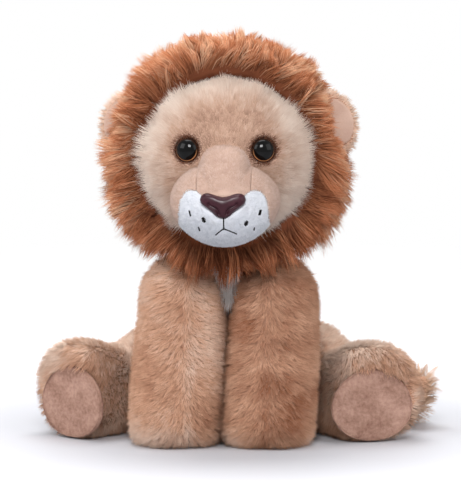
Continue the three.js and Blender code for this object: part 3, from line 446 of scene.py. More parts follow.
def pile_tree():
    """Grows tapered hairs on a skin, each with its tip drawn toward the tip of its tuft."""
    tree, size = new_tree("pile", PILE_SIZES)
    where = place(tree, "GeometryNodeInputPosition").outputs[0]

    def way(normal, stray, seed):
        upright = vector(tree, "SCALE", normal, number(tree, "SUBTRACT", 1.0, size["Lean"]))
        leaned = vector(tree, "SCALE", marked(tree, "lay", VECTOR), size["Lean"])
        loose = vector(tree, "SCALE", any_way(tree, seed), stray)
        leaning = vector(tree, "ADD", upright, leaned)
        return vector(tree, "NORMALIZE", vector(tree, "ADD", leaning, loose))

    full = number(tree, "MULTIPLY", size["Length"], marked(tree, "length"))

    # Tufts: a sparse set of tips that the hairs round them draw toward
    spacing = number(tree, "MULTIPLY", size["Tuft"], size["Tuft"])
    tufts = place(tree, "GeometryNodeDistributePointsOnFaces", {
        "Mesh": size["Geometry"], "Density": number(tree, "DIVIDE", 1.0, spacing),
        "Seed": number(tree, "ADD", size["Seed"], TUFT_SEED_STEP)})
    tuft_way = way(tufts.outputs["Normal"], size["Tuft stray"], seed=3)
    tuft_reach = number(tree, "MULTIPLY", full, chance(tree, *TUFT_REACH, seed=4))
    tip = vector(tree, "ADD", where, vector(tree, "SCALE", tuft_way, tuft_reach))
    tuft_shade = number(tree, "MULTIPLY", chance(tree, -1.0, 1.0, seed=6), size["Tone"])
    tufted = mark(tree, tufts.outputs["Points"], "tuft_tip", tip, VECTOR)
    tufted = mark(tree, tufted, "tuft_wave", any_way(tree, seed=5), VECTOR)
    tufted = mark(tree, tufted, "tuft_shade", tuft_shade)

    # Hairs: each keeps in mind where its tip goes, how it curls and how pale it is
    hairs = place(tree, "GeometryNodeDistributePointsOnFaces", {
        "Mesh": size["Geometry"], "Seed": size["Seed"],
        "Density": number(tree, "MULTIPLY", size["Density"], marked(tree, "cover"))})
    hair_way = way(hairs.outputs["Normal"], size["Stray"], seed=7)
    reach = number(tree, "MULTIPLY", full, chance(tree, *HAIR_REACH, seed=8))
    nearest = place(tree, "GeometryNodeSampleNearest", {"Geometry": tufted}).outputs[0]

    def from_tuft(name, kind="FLOAT"):
        inputs = {"Geometry": tufted, "Value": marked(tree, name, kind), "Index": nearest}
        return place(tree, "GeometryNodeSampleIndex", inputs, data_type=kind).outputs[0]

    own_tip = vector(tree, "ADD", where, vector(tree, "SCALE", hair_way, reach))
    to_tuft = vector(tree, "SUBTRACT", from_tuft("tuft_tip", VECTOR), own_tip)
    fall = number(tree, "MULTIPLY", number(tree, "MULTIPLY", size["Drop"], reach), -1.0)
    shift = vector(tree, "ADD", vector(tree, "SCALE", to_tuft, size["Pull"]),
                   combined(tree, 0.0, 0.0, fall))
    curl = vector(tree, "SCALE", from_tuft("tuft_wave", VECTOR),
                  number(tree, "MULTIPLY", size["Wave"], reach))
    own_tone = number(tree, "MULTIPLY", chance(tree, -0.8, 0.8, seed=9), size["Tone"])
    shade = number(tree, "ADD", marked(tree, "shade"), from_tuft("tuft_shade"))
    rooted = mark(tree, hairs.outputs["Points"], "hair_shift", shift, VECTOR)
    rooted = mark(tree, rooted, "hair_curl", curl, VECTOR)
    rooted = mark(tree, rooted, "hair_shade", number(tree, "ADD", shade, own_tone))
    rooted = mark(tree, rooted, "hair_skin", hairs.outputs["Normal"], VECTOR)

    # One hair, one unit long, that thins mostly near its tip and is set on every root
    cone = place(tree, "GeometryNodeMeshCone", {
        "Vertices": 3, "Side Segments": size["Steps"], "Fill Segments": 1,
        "Radius Top": 0.0, "Radius Bottom": 1.0, "Depth": 1.0})
    parts = separated(tree, where)
    single = mark(tree, cone.outputs[0], "hair_rise", parts["Z"])
    single = mark(tree, single, "hair_side", parts["X"])
    rise = marked(tree, "hair_rise")
    fuller = number(tree, "ADD", 1.0, rise)
    shaped = vector(tree, "MULTIPLY", where, combined(tree, fuller, fuller, 1.0))
    single = moved(tree, single, Position=shaped)
    broad = number(tree, "MULTIPLY", size["Width"], chance(tree, *HAIR_WIDTH, seed=10))
    planted = instanced(tree, rooted, single, hair_way, combined(tree, broad, broad, reach))
    grown = place(tree, "GeometryNodeRealizeInstances", {"Geometry": planted}).outputs[0]

    # The bend of every hair, which stays above the floor
    bend = number(tree, "POWER", rise, BEND_POWER)
    wave = number(tree, "SINE", number(tree, "MULTIPLY", rise, CURL_TURN))
    swing = number(tree, "MULTIPLY", wave, rise)
    shifted = vector(tree, "SCALE", marked(tree, "hair_shift", VECTOR), bend)
    curled = vector(tree, "SCALE", marked(tree, "hair_curl", VECTOR), swing)
    bent = moved(tree, grown, Offset=vector(tree, "ADD", shifted, curled))
    held = separated(tree, where)
    above = number(tree, "MAXIMUM", held["Z"], ABOVE_FLOOR)
    bent = moved(tree, bent, Position=combined(tree, held["X"], held["Y"], above))

    # Shade and rise as a map for the finish, and normals shared with the skin
    side = number(tree, "MULTIPLY", marked(tree, "hair_side"), SIDE_TONE)
    clamped = place(tree, "ShaderNodeClamp", {"Value": marked(tree, "hair_shade"), **HAIR_SHADES})
    tone = combined(tree, number(tree, "ADD", clamped.outputs[0], side), rise)
    toned = mark(tree, bent, "OFBake", tone, "FLOAT2", "CORNER")
    soft = place(tree, "GeometryNodeSetShadeSmooth", {"Geometry": toned}).outputs[0]
    own = vector(tree, "SCALE", place(tree, "GeometryNodeInputNormal").outputs[0], size["Strand"])
    skinward = vector(tree, "ADD", marked(tree, "hair_skin", VECTOR), own)
    soft = place(tree, "GeometryNodeSetMeshNormal", {
        "Mesh": soft, "Custom Normal": vector(tree, "NORMALIZE", skinward)},
        mode="FREE", domain="POINT").outputs[0]
    return end_tree(tree, soft, size["Finish"])


def stitch_tree():
    """Lays stitches end to end along a path of edges."""
    tree, size = new_tree("stitches", STITCH_SIZES)
    path = place(tree, "GeometryNodeMeshToCurve", {"Mesh": size["Geometry"]}).outputs[0]
    dots = place(tree, "GeometryNodeCurveToPoints", {
        "Curve": path, "Length": size["Stitch"]}, mode="LENGTH").outputs
    bead = place(tree, "GeometryNodeMeshUVSphere", {
        "Segments": 6, "Rings": 4, "Radius": 1.0}).outputs[0]
    long = number(tree, "MULTIPLY", size["Stitch"], 0.62)
    half = number(tree, "MULTIPLY", size["Thread"], 0.5)
    laid = instanced(tree, dots["Points"], bead, dots["Tangent"], combined(tree, half, half, long))
    laid = place(tree, "GeometryNodeSetShadeSmooth", {"Geometry": laid}).outputs[0]
    laid = place(tree, "GeometryNodeRealizeInstances", {"Geometry": laid}).outputs[0]
    return end_tree(tree, laid, size["Finish"])


PILE = pile_tree()
STITCHES = stitch_tree()
SPENT_MARKS = ("lay", "length", "shade", "cover", "hair_shift", "hair_curl", "hair_shade",
               "hair_skin", "hair_rise", "hair_side")


def grown(name, mesh, body, slot, tree=PILE, **sizes):
    """Grows a tree's hairs or stitches from a mesh, as a plain piece that rides on a body."""
    draft = in_scene(name + "_draft", mesh)
    nodes = draft.modifiers.new("grow", "NODES")
    nodes.node_group = tree
    for item in tree.interface.items_tree:
        if item.in_out == "INPUT" and item.name.replace(" ", "_") in sizes:
            nodes[item.identifier] = sizes[item.name.replace(" ", "_")]
    made = plain_mesh(draft)
    bpy.data.objects.remove(draft)
    for spent in SPENT_MARKS:
        if spent in made.attributes:
            made.attributes.remove(made.attributes[spent])
    made.name = name
    piece = show(name, made, body)
    return piece


def piled(name, piece, body, slot, length, **more):
    """Grows cut pile on a skin, with the usual sizes apart from those given."""
    sizes = dict(Density=1.7e6, Length=length, Width=0.32 * MM, Lean=0.55, Stray=0.26,
                 Tuft=3.1 * MM, Pull=0.34, Tuft_stray=0.28, Wave=0.0, Drop=0.0, Strand=0.6,
                 Tone=0.1, Steps=1, Seed=1)
    return grown(name, piece.data, body, slot, **{**sizes, **more})


def stitched(name, lines, body, slot, stitch, thread, finish):
    """Stitches along lines of points, as one piece."""
    points = [point for line in lines for point in line]
    edges, start = [], 0
    for line in lines:
        edges += [(start + i, start + i + 1) for i in range(len(line) - 1)]
        start += len(line)
    mesh = bpy.data.meshes.new(name)
    mesh.from_pydata([tuple(point) for point in points], edges, [])
    return grown(name, mesh, body, slot, tree=STITCHES, Stitch=stitch, Thread=thread, Finish=finish)


# Camera, light and floor

AIM = Vector((0.003, -0.105, 0.1426))
AZIMUTH, ELEVATION, AWAY, FRAME_HEIGHT = math.radians(2.5), math.radians(5.5), 2.2, 0.3513
SENSOR = 36
LIT_POINT = (0, -0.05, 0.14)
WORLD_LIGHT, BACKDROP = 0.42, 1.0
FLOOR_REACH, FLOOR_GLOW = 3, 0.5
GLOW_FROM, GLOW_TO, FADE_FROM, FADE_TO = 0.14, 0.4, 0.35, 1.5


def look_at(thing, point):
    thing.rotation_euler = (Vector(point) - thing.location).to_track_quat("-Z", "Y").to_euler()


camera = in_scene("camera", bpy.data.cameras.new("camera"))
camera.location = AIM + AWAY * Vector((math.sin(AZIMUTH) * math.cos(ELEVATION),
                                       -math.cos(AZIMUTH) * math.cos(ELEVATION),
                                       math.sin(ELEVATION)))
look_at(camera, AIM)
camera.data.sensor_width = SENSOR
camera.data.lens = SENSOR * AWAY / FRAME_HEIGHT
bpy.context.scene.camera = camera
bpy.context.scene.view_settings.view_transform = "Standard"


def seen(tree):
    """One for rays that show the background: the camera's, and those mirrored or let through."""
    rays = place(tree, "ShaderNodeLightPath").outputs
    mirrored = number(tree, "MAXIMUM", rays["Is Glossy Ray"], rays["Is Transmission Ray"])
    return number(tree, "MAXIMUM", rays["Is Camera Ray"], mirrored)


def softbox(name, location, size, power):
    lamp = in_scene(name, bpy.data.lights.new(name, "AREA"))
    lamp.location = location
    lamp.data.shape = "SQUARE"
    lamp.data.size = size
    lamp.data.energy = power
    look_at(lamp, LIT_POINT)
    return lamp


softbox("key", (0.05, -1.7, 1.2), size=0.42, power=18)
softbox("left", (-1.3, -0.9, 0.95), size=1.0, power=14)
softbox("right", (1.4, -0.8, 0.8), size=1.2, power=10)
softbox("top", (-0.1, 0.25, 1.6), size=1.0, power=17)
softbox("eye light", (0.05, -1.7, 1.2), size=0.6, power=56).visible_diffuse = False

world = bpy.data.worlds.new("studio")
bpy.context.scene.world = world
world.use_nodes = True
sky = world.node_tree
strength = ranged(sky, seen(sky), 0.0, 1.0, WORLD_LIGHT, BACKDROP)
sky.nodes["Background"].inputs["Color"].default_value = WHITE
sky.links.new(strength, sky.nodes["Background"].inputs["Strength"])


def floor():
    """A pale floor that fades into the backdrop."""
    work = bmesh.new()
    bmesh.ops.create_grid(work, x_segments=2, y_segments=2, size=FLOOR_REACH)
    mesh = bpy.data.meshes.new("floor")
    work.to_mesh(mesh)
    work.free()
    finish, tree, shader = finish_of("floor", Base_Color=tint(200, 201, 207), Roughness=0.6,
                                     Specular_IOR_Level=0.3, Emission_Color=WHITE)
    far = distance(tree, in_object(tree), (0, 0, 0))
    glow = ranged(tree, far, GLOW_FROM, GLOW_TO, 0.0, FLOOR_GLOW)
    tree.links.new(number(tree, "MULTIPLY", seen(tree), glow), shader.inputs["Emission Strength"])
    fade = ranged(tree, far, FADE_FROM, FADE_TO)
    clear = place(tree, "ShaderNodeBsdfTransparent").outputs[0]
    both = place(tree, "ShaderNodeMixShader", {0: fade, 1: shader.outputs[0], 2: clear}).outputs[0]
    tree.links.new(both, tree.nodes["Material Output"].inputs["Surface"])
    mesh.materials.append(finish)
    made = in_scene("floor", mesh)


floor()


# Places on the lion, and directions

FLAT = [1, 0, 1]
FACE = np.array([0, -0.072, 0.206])
HEAD_MIDDLE = np.array([0, 0, 0.186])
SNOUT_MIDDLE = np.array([0, 0, 0.172])
NOSE_PLACE = np.array([0, -0.156, 0.179])
EYES = np.array([[0.0262, -0.118, 0.214], [-0.0262, -0.118, 0.214]])
EAR_ANGLE = math.radians(18)
FRONT_SEAM, SEAM_WIDTH = 27 * MM, 3 * MM
HIP, HIND_REACH = np.array([0.052, 0.022, 0.0272]), 0.0985
TAIL_RING = (0.03, 0.03)
MANE = ("mane_crown", "mane_side_left", "mane_side_right", "mane_bib")


def level(turn, sign):
    """A level direction, turned from the front to one side."""
    return np.array([math.sin(turn) * sign, -math.cos(turn), 0])


def from_plane(points, centre, facing):
    """How far points lie out of a plane, and where they lie in it."""
    depth = (points - centre) @ facing
    return depth, points - centre - np.outer(depth, facing)


# Torso and seat

TORSO_PILE, CHEST_PILE, NECK_PILE = 9 * MM, 7 * MM, 6 * MM
CHEST_HANG = 1.4

torso = skin("torso", body_backing, "torso", grain=2.6 * MM, seam_share=no_seam)
points, normals, room = measured(torso, "torso", "pellet_pouch", "head", "snout", "muzzle_bridge")
to_legs = smooth(-28 * MM, -50 * MM, points[:, 1])
lay = unit(np.column_stack([points[:, 0] * 4, 0.1 - 0.8 * to_legs, -0.5 + 0 * points[:, 0]]))
write_marks(torso, lay, kept(room, TORSO_PILE, 0.45),
            shade=0.5 + 0.2 * drift(points, 60 * MM, seed=30),
            cover=(room > 1 * MM) * (points[:, 2] > 3 * MM))
piled("torso_pile", torso, "torso", "fur", TORSO_PILE, Finish=body_pile, Seed=2, Density=0.62e6,
      Width=0.4 * MM)

chest = skin("chest_panel", white_velour, "torso", grain=1.0 * MM)
points, normals, room = measured(chest, "chest_panel", "mane_bib")
hang = 1 + CHEST_HANG * smooth(0.121, 0.108, points[:, 2])
write_marks(chest, (0, -0.3, -1), kept(room, 6 * MM, 0.3) * hang, shade=0.55,
            cover=(room > 2 * MM) * (normals[:, 1] < -0.3))
piled("chest_pile", chest, "torso", "white_velour", CHEST_PILE, Finish=chest_pile, Seed=3,
      Density=2e6)

skin("seat_panel", body_backing, "torso", grain=1.2 * MM)
skin("pellet_pouch", filling_cloth, "torso", grain=2 * MM)

neck = skin("neck_stuffing", body_backing, "neck", grain=2 * MM)
points, normals, room = measured(neck, "neck_stuffing")
write_marks(neck, -UP + 0.3 * normals, kept(room, NECK_PILE, 0.4), shade=0.4, cover=room > 2 * MM)
piled("neck_pile", neck, "neck", "fur", NECK_PILE, Finish=body_pile, Seed=24, Density=1.2e6)


# Front legs, each with a seam down its front where the pile parts

FRONT_PILE = 8.5 * MM
# How pale each leg's pile is, and how much paler or darker it is along its seam; the left leg's lower
# value is painted shade, for the side the light falls on less
FRONT_SHADES = {"left": (0.35, -0.12), "right": (0.54, 0.16)}


def front_seam(sign):
    """How firmly the seam holds each point of a front leg."""
    return lambda points, normals: (
        np.exp(-((points[:, 0] - FRONT_SEAM * sign) / SEAM_WIDTH) ** 2)
        * smooth(0, 0.5, -normals[:, 1]) * smooth(0.1, 0.07, points[:, 2]))


for side, sign in SIDES:
    node = f"front_leg_{side}"
    leg_shade, seam_shade = FRONT_SHADES[side]
    leg = skin(node, body_backing, node, grain=2.4 * MM, seam_share=front_seam(sign))
    points, normals, room = measured(leg, node, "mane_bib", "mane_side_" + side)
    stroked = drift(points, 60 * MM, seed=31 + sign)
    from_seam = points[:, 0] - FRONT_SEAM * sign
    front = smooth(-0.2, 0.5, -normals[:, 1])
    part = np.clip(from_seam / (8 * MM), -1, 1) * front
    paw = smooth(0.024, 0.006, points[:, 2])
    lay = unit(np.column_stack([0.7 * part + (0.5 + 0.7 * paw) * normals[:, 0] + 0.4 * stroked,
                                (0.3 + 0.9 * paw) * normals[:, 1], -0.9 + 0.3 * paw]))
    near_seam = (np.exp(-(from_seam / SEAM_WIDTH) ** 2) * front
                 * smooth(0.095, 0.06, points[:, 2]))
    gap = smooth(14 * MM, 7 * MM, points[:, 0] * sign) * smooth(0.085, 0.1, points[:, 2])
    low = smooth(0.12, 0.02, points[:, 2])
    shade = leg_shade + 0.2 * stroked - 0.1 * low + seam_shade * near_seam + 0.3 * paw
    length = kept(room, 9 * MM, 0.3) * (1 - 0.2 * gap) * (1 - 0.3 * near_seam) * (1 + 0.15 * paw)
    write_marks(leg, lay, length, shade, cover=(room > 2 * MM) * (points[:, 2] > 0.6 * MM))
    piled(node + "_pile", leg, node, "fur", FRONT_PILE, Finish=body_pile, Seed=4 + sign,
          Density=1.5e6)


# Hind legs and soles

HIND_PILE = 9 * MM
# How far each leg spreads from the front, and how far its sole turns, in degrees
HIND_TURNS = {"left": (31, 15), "right": (38.6, 40)}
SOLE_RADIUS, SOLE_RUMPLE = 27 * MM, 0.55 * MM
SEAM_INSET, SEAM_SUNK, SEAM_STITCHES = 1.2 * MM, 0.3 * MM, 96
SOLE_STITCH, SOLE_THREAD = 2.4 * MM, 1.1 * MM

for side, sign in SIDES:
    node = f"hind_leg_{side}"
    splay, sole_turn = (math.radians(turn) for turn in HIND_TURNS[side])
    way, facing = level(splay, sign), level(sole_turn, sign)
    sole_centre = HIP * [sign, 1, 1] + HIND_REACH * way
    leg = skin(node, body_backing, node, grain=2.4 * MM, seam_share=no_seam)
    points, normals, room = measured(leg, node)
    depth, flat = from_plane(points, sole_centre, facing)
    front = smooth(-6 * MM, -1 * MM, depth)
    over = smooth(10 * MM, 24 * MM, points[:, 2] - sole_centre[2])
    stroked = drift(points, 55 * MM, seed=34 + sign)
    top = (over * smooth(-34 * MM, -4 * MM, depth))[:, None]
    lay = unit((1 - top) * (0.7 * way + 0.35 * normals + 0.5 * stroked[:, None] * [0, 0, 1]
                            + [0, 0, -0.3] + 1.2 * front[:, None] * unit(flat))
               + top * (facing + 0.3 * normals + [0, 0, -0.9]))
    length = (kept(room, 6 * MM, 0.45) * (1 - 0.5 * front * (1 - over))
              * (1 + 0.3 * top[:, 0] * front))
    bare = (normals @ facing > 0.75) * (np.linalg.norm(flat, axis=1) < SOLE_RADIUS)
    # Paler on up-facing and higher parts, as painted light from above; the drift is the pile's own
    # stroked tone
    shade = (0.6 + 0.06 * normals[:, 2] + 0.2 * stroked
             + 0.2 * smooth(0.045, 0.07, points[:, 2]))
    write_marks(leg, lay, length, shade,
                cover=(room > 3 * MM) * (points[:, 2] > 0.6 * MM) * ~bare)
    piled(node + "_pile", leg, node, "fur", HIND_PILE, Finish=body_pile, Seed=14 + sign,
          Lean=0.66, Density=1.5e6, Width=0.34 * MM, Tone=0.14)

    sole = skin(f"sole_pad_{side}", sole_velour, node, grain=1.2 * MM)
    points, normals = vertices(sole.data)
    rumple = (SOLE_RUMPLE * drift(points, 24 * MM, seed=70 + sign)
              * smooth(0.6, 0.95, normals @ facing))
    sole.data.vertices.foreach_set("co", (points + rumple[:, None] * normals).ravel())
    depth, flat = from_plane(points, sole_centre, facing)
    rim = []
    for turn in np.linspace(0, 2 * math.pi, SEAM_STITCHES + 1):
        across = math.cos(turn) * np.array([facing[1], -facing[0], 0]) + math.sin(turn) * UP
        reach = (flat @ across).max() - SEAM_INSET
        rim.append(sole_centre + across * reach + facing * (depth.max() - SEAM_SUNK))
    stitched(f"sole_seam_{side}", [rim], node, "sole_velour", SOLE_STITCH, SOLE_THREAD, sole_velour)


# Tail

TAIL_PILE, TUFT_HAIR = 6 * MM, 15 * MM

tail = skin("tail", body_backing, "tail", grain=1.6 * MM)
points, normals, room = measured(tail, "tail", "tail_tuft")
to_tuft = np.column_stack([points[:, 1] - TAIL_RING[1], -(points[:, 0] - TAIL_RING[0]),
                           0 * points[:, 0]])
write_marks(tail, unit(to_tuft), kept(room, 7 * MM, 0.3), shade=0.5, cover=room > 2 * MM)
piled("tail_pile", tail, "tail", "fur", TAIL_PILE, Finish=body_pile, Seed=20, Density=1.1e6,
      Width=0.4 * MM)

tuft = skin("tail_tuft", body_backing, "tail", grain=1.6 * MM)
points, normals = vertices(tuft.data)
write_marks(tuft, unit(np.array([0.5, -1.0, 0.55]) + 0 * points), length=1.0, shade=0.5, cover=1.0)
piled("tuft_hair", tuft, "tail", "mane_fur", TUFT_HAIR, Finish=tuft_hair, Seed=21, Density=0.5e6,
      Width=0.2 * MM, Lean=0.6, Steps=3, Pull=0.62, Tuft=6 * MM, Tuft_stray=0.5, Wave=0.1)


# Head, whose pile is short and dark round the eyes, and long and pale at the edge of the face

FACE_PILE = 9 * MM
# Where the face's cloth turns dark round the eyes, partly an airbrushed rim and partly painted shade
# round the set-in eyes
DARK_NEAR, DARK_FAR = 9.2 * MM, 11 * MM

head = skin("head", face_backing(EYES, DARK_NEAR, DARK_FAR), "head", grain=2.2 * MM)
points, normals, room = measured(head, "head", "neck_stuffing", "eye_washer_left",
                                 "eye_washer_right", "eye_left", "eye_right", *MANE)
outward = (points - HEAD_MIDDLE) * FLAT
lay = unit(unit(outward) + 0.35 * normals)
to_eye = np.min([np.linalg.norm((points - eye) * [1, 0.6, 1], axis=1) for eye in EYES], axis=0)
radius = np.linalg.norm((points - FACE) * FLAT, axis=1)
edge = smooth(34 * MM, 56 * MM, radius)
length = ((0.45 + (0.9 + 0.5 * drift(points, 20 * MM, seed=41)) * edge)
          * smooth(6 * MM, 15 * MM, to_eye))
length = np.maximum(length, 0.2) * kept(room, 6 * MM, 0.25)
between_eyes = smooth(34 * MM, 12 * MM, np.abs(points[:, 0])) * smooth(0.25, 0.236, points[:, 2])
# Darker close round the eyes, partly an airbrushed rim and partly painted shade round the set-in
# eyes; darker between the eyes, partly the face's own tan and partly painted shade of the brow; paler
# at the edge of the face, its own cream
shade = (0.52 + 0.4 * edge - 0.1 * between_eyes - 0.6 * smooth(12.5 * MM, 9.5 * MM, to_eye)
         + 0.08 * drift(points, 40 * MM, seed=40))
write_marks(head, lay, length, shade,
            cover=(room > 2 * MM) * (points[:, 1] < -0.08) * (to_eye > 9 * MM))
piled("face_pile", head, "head", "face_fur", FACE_PILE, Finish=face_pile, Seed=30, Density=2.7e6,
      Width=0.27 * MM, Tuft=2.8 * MM, Pull=0.24, Tuft_stray=0.22, Lean=0.5, Stray=0.26, Tone=0.09)


# Muzzle, with the mouth and whisker dots sewn on the snout, in millimetres

MOUTH_MIDDLE, MOUTH_TOP, MOUTH_FORK = 0.6, 170, 162
MOUTH_CORNERS = ((-5.4, 4.2), (8.4, 3.6))
# Each whisker dot: where it is, its half height, and how many threads wide
WHISKER_DOTS = ((-22.9, 172.4, 1.7, 1), (-13.2, 168.2, 1.6, 3), (-16.6, 161.6, 1.1, 1),
                (25.4, 173.0, 1.9, 2), (16.0, 165.8, 1.6, 3), (21.2, 161.4, 0.8, 1))
DOT_SLANT, DOT_SPACING = 0.25, 0.8
VELOUR_NAP = 1.8 * MM
MUZZLE = (("muzzle_bridge", muzzle_velour, velour_pile, "velour"),
          ("muzzle_cheek_left", muzzle_velour, velour_pile, "velour"),
          ("muzzle_cheek_right", muzzle_velour, velour_pile, "velour"),
          ("snout", white_velour, white_pile, "white_velour"))


def surface(piece):
    """A piece's surface, as a tree to cast at."""
    return BVHTree.FromPolygons([v.co[:] for v in piece.data.vertices],
                                [p.vertices[:] for p in piece.data.polygons])


def sewn(base, x, z):
    """The point of the snout's surface behind x and z."""
    hit = base.ray_cast(Vector((x * MM, -0.3, z * MM)), Vector((0, 1, 0)))[0]
    return hit + Vector((0, -0.4 * MM, 0))


def mouth_lines(base):
    """The line down from the nose, and the two that curve away from its end."""
    lines = [[sewn(base, MOUTH_MIDDLE, MOUTH_TOP - 0.5 * i) for i in range(17)]]
    for wide, drop in MOUTH_CORNERS:
        lines.append([sewn(base, MOUTH_MIDDLE + wide * s, MOUTH_FORK - drop * s ** 1.2)
                      for s in np.linspace(0, 1, 15)])
    return lines


def dot_lines(base):
    """The short threads side by side that make each whisker dot."""
    lines = []
    for x, z, tall, threads in WHISKER_DOTS:
        slant = DOT_SLANT if x > 0 else -DOT_SLANT
        for thread in range(threads):
            off_middle = thread - (threads - 1) / 2
            high = tall * (1 - 0.4 * abs(off_middle))
            lines.append([sewn(base, x + DOT_SPACING * off_middle + slant * high * s, z + high * s)
                          for s in (-1, -0.5, 0, 0.5, 1)])
    return lines


for node, finish, nap, slot in MUZZLE:
    snout = node == "snout"
    part = skin(node, finish, "head", grain=0.8 * MM, soften=2, fuller=0.25 * MM)
    points, normals, room = measured(part, node)
    to_nose = np.linalg.norm((points - NOSE_PLACE) * [0.75, 0, 1.2], axis=1)
    near_rim = smooth(2.5 * MM, 1.2 * MM, room)
    outward = unit((points - SNOUT_MIDDLE) * FLAT) * (1 if snout else 0)
    lay = (normals * [1, 0.3, 1] * (1 - near_rim[:, None])
           + near_rim[:, None] * ([0, -1, 0] + outward) + [0, 0, -0.1])
    cover = (room > 0.3 * MM) * (normals[:, 1] < 0.3) * (to_nose > 11 * MM)
    length = kept(room, 2 * MM, 0.6) * (1 + (0.7 * near_rim if snout else 0))
    if snout:
        base = surface(part)
        mouth, dots = mouth_lines(base), dot_lines(base)
        threads = np.array([tuple(point) for line in mouth + dots for point in line])
        to_thread = np.min(np.linalg.norm(points[:, None] - threads[None], axis=2), axis=1)
        cover = cover * (to_thread > 1.1 * MM)
        stitched("mouth_stitches", mouth, "head", slot, 1.4 * MM, 1.1 * MM, black_thread)
        stitched("whisker_dots", dots, "head", slot, 0.7 * MM, 1.3 * MM, black_thread)
    write_marks(part, lay, length, shade=0.6, cover=cover)
    piled(node + "_nap", part, "head", slot, VELOUR_NAP, Finish=nap, Seed=40, Density=2.6e6,
          Width=0.2 * MM, Tuft=2 * MM, Pull=0.2, Tone=0.2)


# Ears

EAR_PILE = 6 * MM

for side, sign in SIDES:
    away = np.array([sign * math.cos(EAR_ANGLE), 0, math.sin(EAR_ANGLE)])
    node = f"ear_{side}"
    ear = skin(node, body_backing, node, grain=1.4 * MM)
    points, normals, room = measured(ear, node, "mane_back", "mane_crown", "mane_side_" + side)
    write_marks(ear, unit(away + 0.4 * normals), kept(room, 5 * MM, 0.3), shade=0.8,
                cover=room > 1 * MM)
    piled(node + "_pile", ear, node, "fur", EAR_PILE, Finish=body_pile, Seed=50 + sign,
          Density=2e6, Tuft=3 * MM)
    skin(f"ear_lining_{side}", lining_velour, node, grain=0.8 * MM)


# Mane, whose hair points away from the face and gives way to the ears

MANE_HAIR = 28 * MM
MANE_SIZES = dict(Finish=mane_hair, Density=0.78e6, Width=0.27 * MM, Lean=0.84, Stray=0.22,
                  Tuft=5.2 * MM, Pull=0.55, Tuft_stray=0.34, Wave=0.1, Drop=0.08, Strand=0.9,
                  Tone=0.24, Steps=3)
MANE_BACK_SIZES = {**MANE_SIZES, "Density": 0.44e6, "Width": 0.38 * MM, "Lean": 0.9, "Steps": 2}
EAR_SPREAD = 0.34

for row, node in enumerate((*MANE, "mane_back")):
    hair = skin(node, mane_backing, "head", grain=2.2 * MM)
    points, normals, room = measured(hair, node, *MANE, "mane_back", "ear_left", "ear_right",
                                     "torso", "front_leg_left", "front_leg_right", "chest_panel")
    off = (points - FACE) * FLAT
    outward = unit(off)
    radius = np.linalg.norm(off, axis=1)
    stroked = drift(points, 34 * MM, seed=60 + row)
    around = np.column_stack([outward[:, 2], 0 * radius, -outward[:, 0]])
    rim = smooth(56 * MM, 79 * MM, radius)
    shaded_below = smooth(0.0, -0.9, outward[:, 2])
    angle = np.arctan2(outward[:, 2], np.abs(outward[:, 0]))
    by_ear = (np.exp(-((angle - EAR_ANGLE) / EAR_SPREAD) ** 2)
              * smooth(60 * MM, 70 * MM, radius))
    if node == "mane_back":
        low = smooth(0.19, 0.165, points[:, 2])
        lay = (outward * (1 - 0.6 * low[:, None]) + 0.35 * stroked[:, None] * around
               + [0, 0.1, -0.9])
        length = (0.55 + 0.1 * low) * (1 - 0.4 * by_ear)
    else:
        lay = outward + 0.6 * stroked[:, None] * around + [0, -0.05, -0.25]
        beside = smooth(0.35, 0.8, np.abs(outward[:, 0])) * rim * (1 - by_ear)
        over_ear = 0.25 * by_ear * (points[:, 0] < 0)
        length = ((1 - 0.6 * rim * (1 - over_ear)) * (1 - 0.5 * by_ear * (points[:, 0] > 0))
                  * (1 + 0.3 * beside))
    turned_in = np.sum(normals * outward, axis=1) < -0.3
    length = length * (1 + 0.35 * drift(points, 24 * MM, seed=80 + row))
    # Paler toward the rim, partly the mane's own paler ends and partly painted shade near the face;
    # darker below, as painted shade under the chin
    write_marks(hair, unit(lay), length, shade=0.3 + 0.32 * rim + 0.12 * stroked - 0.16 * shaded_below,
                cover=(room > 2 * MM) & ~turned_in)
    sizes = MANE_BACK_SIZES if node == "mane_back" else MANE_SIZES
    piled(node + "_hair", hair, "head", "mane_fur", MANE_HAIR, Seed=60 + row, **sizes)


# Safety eyes and nose

EYE_RADIUS, EYE_RIM, EYE_DOME = 8 * MM, 1.4 * MM, 5.6 * MM
STEM_RADIUS, STEM_LENGTH = 2 * MM, 11 * MM
EYE_TURN = math.radians(15)
EYE_SIDES, DOME_RINGS = 72, 25
# The iris's copper shows only along its lower edge, from IRIS_TOP down to IRIS_FULL, as a painted
# glint where it catches the light; above that the iris is painted dim brown
IRIS_TOP, IRIS_FULL = 1 * MM, -6 * MM
BLACK, COPPER, BROWN = tint(2, 1, 2), tint(232, 164, 112), tint(40, 22, 14)
BRIGHT_IRIS = [(0.0, BLACK), (0.84, BLACK), (0.88, BROWN), (0.93, COPPER), (0.98, BROWN)]
DIM_IRIS = [(0.0, BLACK), (0.9, BLACK), (0.95, BROWN), (0.99, BROWN)]


def eye_finish(name, centre, sign):
    """A black pupil under gloss, with a copper iris that catches the light along its lower edge."""
    finish, tree, shader = finish_of(name, Roughness=0.03, Specular_IOR_Level=0.14)
    off = vector(tree, "SUBTRACT", in_object(tree), tuple(centre))
    turned = place(tree, "ShaderNodeVectorRotate", {"Vector": off, "Angle": -EYE_TURN * sign},
                   rotation_type="Z_AXIS").outputs[0]
    far = distance(tree, vector(tree, "MULTIPLY", turned, FLAT), (0, 0, 0))
    share = number(tree, "DIVIDE", far, EYE_RADIUS)
    lower = ranged(tree, separated(tree, turned)["Z"], IRIS_TOP, IRIS_FULL)
    colour = blended(tree, lower, ramp(tree, share, DIM_IRIS), ramp(tree, share, BRIGHT_IRIS))
    tree.links.new(colour, shader.inputs["Base Color"])
    return finish


